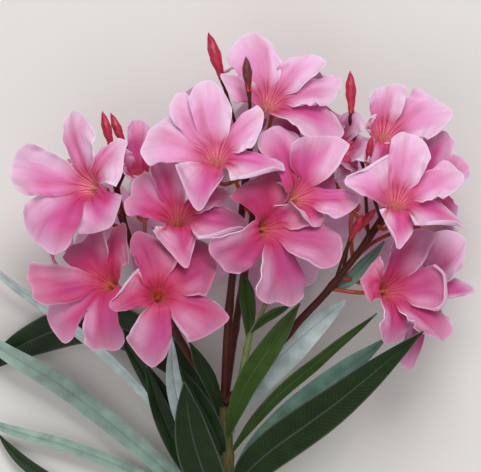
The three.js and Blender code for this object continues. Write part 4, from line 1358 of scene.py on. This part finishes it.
def tooth_ring_mesh(count, radius, length, width, flatness, lean, unevenness, finish_name):
    """Sizes are metres, lean is radians."""
    return grown_mesh(tooth_ring_tree, bpy.data.meshes.new("ring"), {
        "Count": count, "Ring Radius": radius, "Tooth Length": length, "Tooth Width": width,
        "Flatness": flatness, "Lean": lean, "Unevenness": unevenness, "Finish": finish(finish_name),
    })


def turned_to(place, axis, spin=0.0):
    """Matrix that stands a mesh made on the Z axis on a place, along an axis."""
    turn = Vector(axis).to_track_quat("Z", "Y").to_matrix().to_4x4()
    return Matrix.Translation(Vector(packed(place))) @ turn @ Matrix.Rotation(spin, 4, "Z")


class OLEANDER_OT_stems(bpy.types.Operator):
    """Main stem, side shoots and flower stalks with their joints and bark"""

    bl_idname = "oleander.stems"
    bl_label = "Stems and stalks"

    def execute(self, context):
        sizes = context.scene.oleander_sizes
        for name, limb in LIMBS.items():
            thick, thin = limb["radii"]
            points = curve_points(limb["path"], count=64)
            shares = run_lengths(points) / run_lengths(points)[-1]
            radii = thick + (thin - thick) * shares
            if name == "main_stem":
                for place in WHORLS:
                    radii = radii + WHORL_SWELL * bell_curve(points[:, 1] - place, WHORL_LENGTH)
            else:
                for share in JOINTS:
                    radii = radii + JOINT_SWELL * thin * bell_curve(shares - share, JOINT_LENGTH)
            gathered = Gathered()
            mesh = limb_mesh(points, radii, sides=20, finish_name=limb["slot"], relief=sizes.bark_relief)
            gathered.add_mesh(mesh, Matrix.Identity(4), limb["slot"])
            gathered.piece(name + "_bark", [name], limb["slot"], sharp_degrees=60)
        self.cut_end()
        return {"FINISHED"}

    def cut_end(self):
        """Pale wood inside the bark's ring, a hair proud of the stem's square cut."""
        centre = np.array(LIMBS["main_stem"]["path"][0], float) - [0, CUT_PROUD, 0]
        count = 32
        angles = np.linspace(0, CIRCLE, count, endpoint=False)
        rings = []
        for radius, back in CUT_RINGS:
            ring = np.stack((np.cos(angles) * radius, np.full(count, back), np.sin(angles) * radius), axis=1)
            rings.append(centre + ring)
        middles = [centre + [0, back, 0] for back in (CUT_RINGS[0][1], CUT_RINGS[-1][1])]
        gathered = Gathered()
        gathered.add(packed(np.concatenate(rings + [middles])), closed_rings(len(rings), count), "wood")
        gathered.piece("cut_end_wood", [], "stem")


class OLEANDER_OT_blooms(bpy.types.Operator):
    """Open flowers: petals with their bell, throat fringe, tube, calyx and stalk"""

    bl_idname = "oleander.blooms"
    bl_label = "Blooms"

    def execute(self, context):
        sizes = context.scene.oleander_sizes
        rings = {
            "fringe": tooth_ring_mesh(count=15, radius=2.4 * MM, length=sizes.fringe_length, width=0.55 * MM,
                                      flatness=0.35, lean=0.56, unevenness=0.6, finish_name="fringe"),
            "crown": tooth_ring_mesh(count=9, radius=1.0 * MM, length=sizes.fringe_length, width=0.8 * MM,
                                     flatness=0.4, lean=0.3, unevenness=0.5, finish_name="fringe"),
            "anthers": tooth_ring_mesh(count=5, radius=0.5 * MM, length=7.5 * MM, width=1.0 * MM,
                                       flatness=0.6, lean=-0.03, unevenness=0.2, finish_name="anther"),
        }
        sepals = tooth_ring_mesh(count=5, radius=1.75 * MM, length=sizes.sepal_length, width=1.9 * MM,
                                 flatness=0.35, lean=0.07, unevenness=0.15, finish_name="calyx")
        for name, bloom in {**BLOOMS, **EVEN_BLOOMS}.items():
            self.petals(name, bloom, sizes, rings)
            self.tube(name, bloom, sizes, sepals)
        return {"FINISHED"}

    def petals(self, name, bloom, sizes, rings):
        chance = random.Random("petals " + name)
        petals = bloom_petals(bloom)
        counts = (sizes.petal_rows, sizes.petal_columns)
        half_thickness = sizes.petal_thickness / MM / 2
        floor = -SHIFT[2]
        size = bloom.get("size", 1)
        gathered = Gathered()
        tips = [tip for tip, _, _ in petals]
        for petal, tip, angles in zip(petals, tips, petal_angles(bloom, tips)):
            grid, run, share, v = petal_rows(bloom, petal, angles, counts, chance)
            grid[..., 2] = np.maximum(grid[..., 2], floor + half_thickness)
            corners, faces = closed_sheet(grid, half_thickness, half_thickness)
            # Painted light and shade: in a pale bloom the petals towards the branch's tip, which face the key
            # light, are palest, in a deep one, shaded by the blooms above, they are deepest
            towards_tip = tip[1] - bloom["throat"][1]
            tone = bloom["tone"] - PAINTED_LIGHT_SLOPE * (1 - 2 * bloom["tone"]) * towards_tip
            tone = tone + chance.uniform(-TONE_SPREAD, TONE_SPREAD)
            gathered.add(packed(corners), faces, "petal", run=np.tile(run.ravel() * MM / size, 2),
                         along=np.tile(np.repeat(share, len(v)), 2), across=np.tile(v, 2 * len(share)),
                         under=np.repeat([0, 1], run.size), tone=min(max(tone, 0), 1),
                         seed=chance.uniform(0, 10))
        mouth, axis, _, _ = flower_frame(bloom)
        spin = chance.uniform(0, CIRCLE)
        for ring, (depth, finish_name) in THROAT_RINGS.items():
            matrix = turned_to(mouth - axis * depth * size, axis, spin) @ Matrix.Scale(size, 4)
            gathered.add_mesh(rings[ring], matrix, finish_name, tone=bloom["tone"])
        gathered.piece("petals_" + name, ["bloom_" + name], "petal")

    def tube(self, name, bloom, sizes, sepals):
        mouth, bell_axis, _, _ = flower_frame(bloom)
        axis = unit(np.array(bloom["faces"], float))
        seat = point_at(LIMBS[bloom["stalk"]]["path"], bloom["share"])
        neck = mouth + bell_axis * (BELL_WALL[0][1] + NECK_OVERLAP) * bloom.get("size", 1)
        calyx = np.array(bloom["throat"], float) - axis * TUBE_DEPTH
        bend = calyx - axis * PEDICEL_LEAD
        bend = bend + (seat - bend) * PEDICEL_TURN
        points = curve_points([neck, neck - bell_axis * NECK_LEAD, calyx, bend, seat], count=61)
        radii = np.interp(run_lengths(points), TUBE_RUNS, TUBE_RADII)
        gathered = Gathered()
        mesh = limb_mesh(points, radii, sides=14, finish_name="tube", relief=sizes.bark_relief / 2)
        gathered.add_mesh(mesh, Matrix.Identity(4), "tube")
        gathered.add_mesh(sepals, turned_to(calyx - axis * SEPAL_SINK, axis), "calyx")
        gathered.piece("tube_" + name, ["bloom_" + name], "flower_stalk")


class OLEANDER_OT_buds(bpy.types.Operator):
    """Rolled buds with their sepals and stalks"""

    bl_idname = "oleander.buds"
    bl_label = "Buds"

    def execute(self, context):
        sizes = context.scene.oleander_sizes
        sepals = tooth_ring_mesh(count=5, radius=0.95 * MM, length=3.4 * MM, width=1.1 * MM, flatness=0.4,
                                 lean=0.1, unevenness=0.15, finish_name="calyx")
        for name, bud in BUDS.items():
            base, tip = np.array(bud["base"], float), np.array(bud["tip"], float)
            gathered = Gathered()
            corners, faces = self.rolled_petals(base, tip, bud["radius"])
            gathered.add(packed(corners), faces, "bud", tone=bud.get("tone", 0))
            axis = unit(tip - base)
            into = base - axis * BUD_LEAD - UP * bud.get("dip", 0)
            seat = point_at(LIMBS[bud["stalk"]]["path"], bud["share"])
            points = curve_points([base + axis * BUD_OVERLAP, into, seat], count=30)
            radii = np.interp(run_lengths(points), BUD_RUNS, BUD_RADII)
            mesh = limb_mesh(points, radii, sides=12, finish_name="flower_stalk",
                             relief=sizes.bark_relief / 2)
            gathered.add_mesh(mesh, Matrix.Identity(4), "flower_stalk")
            gathered.add_mesh(sepals, turned_to(base - axis * BUD_SEPAL_SINK, axis), "calyx")
            gathered.piece("rolled_" + name, [name], "bud")
        return {"FINISHED"}

    def rolled_petals(self, base, tip, radius):
        """A spindle of five petals rolled round one another, closed at both ends."""
        axis = unit(tip - base)
        first = unit(np.cross([1.0, 0.2, 0.0], axis))
        second = np.cross(axis, first)
        rows, sides = 36, 40
        shares = np.linspace(0, 1, rows)
        widths = outline_at(BUD_OUTLINE, shares) * radius
        turn = np.linspace(0, CIRCLE, sides, endpoint=False)
        rings = []
        for share, width in zip(shares, widths):
            # Each petal overlaps the next in a step that winds up the bud
            lap = (turn * PETALS / CIRCLE + share * BUD_WIND) % 1.0
            reach = width * (BUD_LOW_SIDE + BUD_STEP * lap ** BUD_STEP_POWER)
            rings.append(base + (tip - base) * share + np.outer(np.cos(turn) * reach, first)
                         + np.outer(np.sin(turn) * reach, second))
        return np.concatenate(rings + [[base, tip]]), closed_rings(rows, sides)


class OLEANDER_OT_leaves(bpy.types.Operator):
    """Narrow leathery leaves with a midrib"""

    bl_idname = "oleander.leaves"
    bl_label = "Leaves"

    def execute(self, context):
        sizes = context.scene.oleander_sizes
        for name, (path, width, roll, tint) in LEAVES.items():
            self.leaf(name, path, width, math.radians(roll), tint, sizes)
        return {"FINISHED"}

    def leaf(self, name, path, width, roll, tint, sizes):
        chance = random.Random("leaf " + name)
        rows, columns = sizes.leaf_rows, sizes.leaf_columns
        centre = curve_points(path, rows)[:, None, :]
        u = np.linspace(0, 1, rows)[:, None, None]
        v = np.linspace(-1, 1, columns + 1)[None, :, None]
        tangent = unit(np.gradient(centre[:, 0, :], axis=0))[:, None, :]
        facing = unit(UP - tangent * dot(UP, tangent))
        facing = facing * math.cos(roll) + np.cross(tangent, facing) * math.sin(roll)
        across = np.cross(tangent, facing)
        half = outline_at(LEAF_OUTLINE, u) * width / 2
        waves = np.sin(CIRCLE * (LEAF_WAVES * u + chance.uniform(0, 1)) + np.where(v < 0, 0, LEAF_WAVE_LAG))
        height = half * (LEAF_FOLD * np.abs(v) - LEAF_ROUND * v ** 4) + LEAF_WAVE * width * waves * v ** 2
        height = height - FURROW_DEPTH * bell_curve(v, RIB_WIDTH)
        grid = centre + across * half * v + facing * height
        blade = sizes.leaf_thickness / MM / 2
        rib = sizes.midrib_depth / MM * bell_curve(v, RIB_WIDTH) * (1 - RIB_TAPER * u)
        corners, faces = closed_sheet(grid, blade, (blade + rib)[..., 0])
        along = np.repeat(u.ravel(), columns + 1)
        side = np.broadcast_to(v[0, :, 0], (rows, columns + 1)).ravel()
        gathered = Gathered()
        gathered.add(packed(corners), faces, tint, along=np.tile(along, 2), across=np.tile(side, 2),
                     under=np.repeat([0, 1], len(along)))
        gathered.piece("blade_" + name, ["leaf_" + name], "leaf")


class OLEANDER_OT_stage(bpy.types.Operator):
    """Plain floor, soft studio light and the camera straight above the flower head"""

    bl_idname = "oleander.stage"
    bl_label = "Stage"

    def execute(self, context):
        scene = context.scene
        self.floor(scene)
        self.lights(scene)
        self.camera(scene)
        scene.view_settings.view_transform = "Standard"
        return {"FINISHED"}

    def floor(self, scene):
        corners = [(x * FLOOR_HALF, y * FLOOR_HALF, 0) for x, y in ((-1, -1), (1, -1), (1, 1), (-1, 1))]
        mesh = bpy.data.meshes.new("floor")
        mesh.from_pydata(corners, [], [(0, 1, 2, 3)])
        material, tree = new_material("matt_pale_floor")
        place = add_node(tree, "ShaderNodeTexCoord", output="Object")
        grain = add_node(tree, "ShaderNodeTexNoise", {
            "Vector": place, "Scale": 1 / (FLOOR_GRAIN * MM), "Detail": 2,
        })
        bump = add_node(tree, "ShaderNodeBump", {"Height": grain, "Strength": 0.05, "Distance": 0.2 * MM})
        shader = add_node(tree, "ShaderNodeBsdfPrincipled", {
            "Base Color": scene.oleander_colours.floor, "Roughness": 0.85, "Normal": bump,
        })
        add_node(tree, "ShaderNodeOutputMaterial", {"Surface": shader}, output=None)
        mesh.materials.append(material)
        floor = bpy.data.objects.new("floor", mesh)
        scene.collection.objects.link(floor)

    def lights(self, scene):
        world = bpy.data.worlds.new("studio_air")
        world.use_nodes = True
        background = world.node_tree.nodes["Background"]
        background.inputs["Color"].default_value = scene.oleander_colours.studio_air
        background.inputs["Strength"].default_value = 0.5
        scene.world = world
        for name, (place, size, power) in LIGHTS.items():
            light = bpy.data.lights.new(name, "AREA")
            light.shape = "DISK"
            light.size = size
            light.energy = power
            lamp = bpy.data.objects.new(name, light)
            lamp.location = place
            aim = Vector(LIT_PLACE) - Vector(place)
            lamp.rotation_euler = aim.to_track_quat("-Z", "Y").to_euler()
            scene.collection.objects.link(lamp)

    def camera(self, scene):
        """Straight above the middle of the flower head."""
        data = bpy.data.cameras.new("camera")
        data.sensor_width = 36.0
        data.lens = data.sensor_width * CAMERA_DISTANCE / FRAME_WIDTH
        data.clip_start, data.clip_end = 0.05, 20.0
        camera = bpy.data.objects.new("camera", data)
        camera.location = packed((0, 0, FRAME_LEVEL + CAMERA_DISTANCE))
        scene.collection.objects.link(camera)
        scene.camera = camera


class OLEANDER_PT_panel(bpy.types.Panel):
    bl_label = "Cut oleander branch"
    bl_idname = "OLEANDER_PT_panel"
    bl_space_type = "VIEW_3D"
    bl_region_type = "UI"
    bl_category = "Oleander"

    def draw(self, context):
        for operator in OPERATORS:
            self.layout.operator(operator.bl_idname)
        for group in (context.scene.oleander_sizes, context.scene.oleander_colours):
            for name in group.__annotations__:
                self.layout.prop(group, name)


OPERATORS = (OLEANDER_OT_stems, OLEANDER_OT_blooms, OLEANDER_OT_buds, OLEANDER_OT_leaves, OLEANDER_OT_stage)
CLASSES = (OleanderSizes, OleanderColours, *OPERATORS, OLEANDER_PT_panel)


def register():
    for cls in CLASSES:
        bpy.utils.register_class(cls)
    bpy.types.Scene.oleander_sizes = PointerProperty(type=OleanderSizes)
    bpy.types.Scene.oleander_colours = PointerProperty(type=OleanderColours)


def unregister():
    del bpy.types.Scene.oleander_colours
    del bpy.types.Scene.oleander_sizes
    for cls in reversed(CLASSES):
        bpy.utils.unregister_class(cls)


def main():
    register()
    bpy.ops.oleander.stems()
    bpy.ops.oleander.blooms()
    bpy.ops.oleander.buds()
    bpy.ops.oleander.leaves()
    bpy.ops.oleander.stage()


if __name__ == "__main__":
    main()
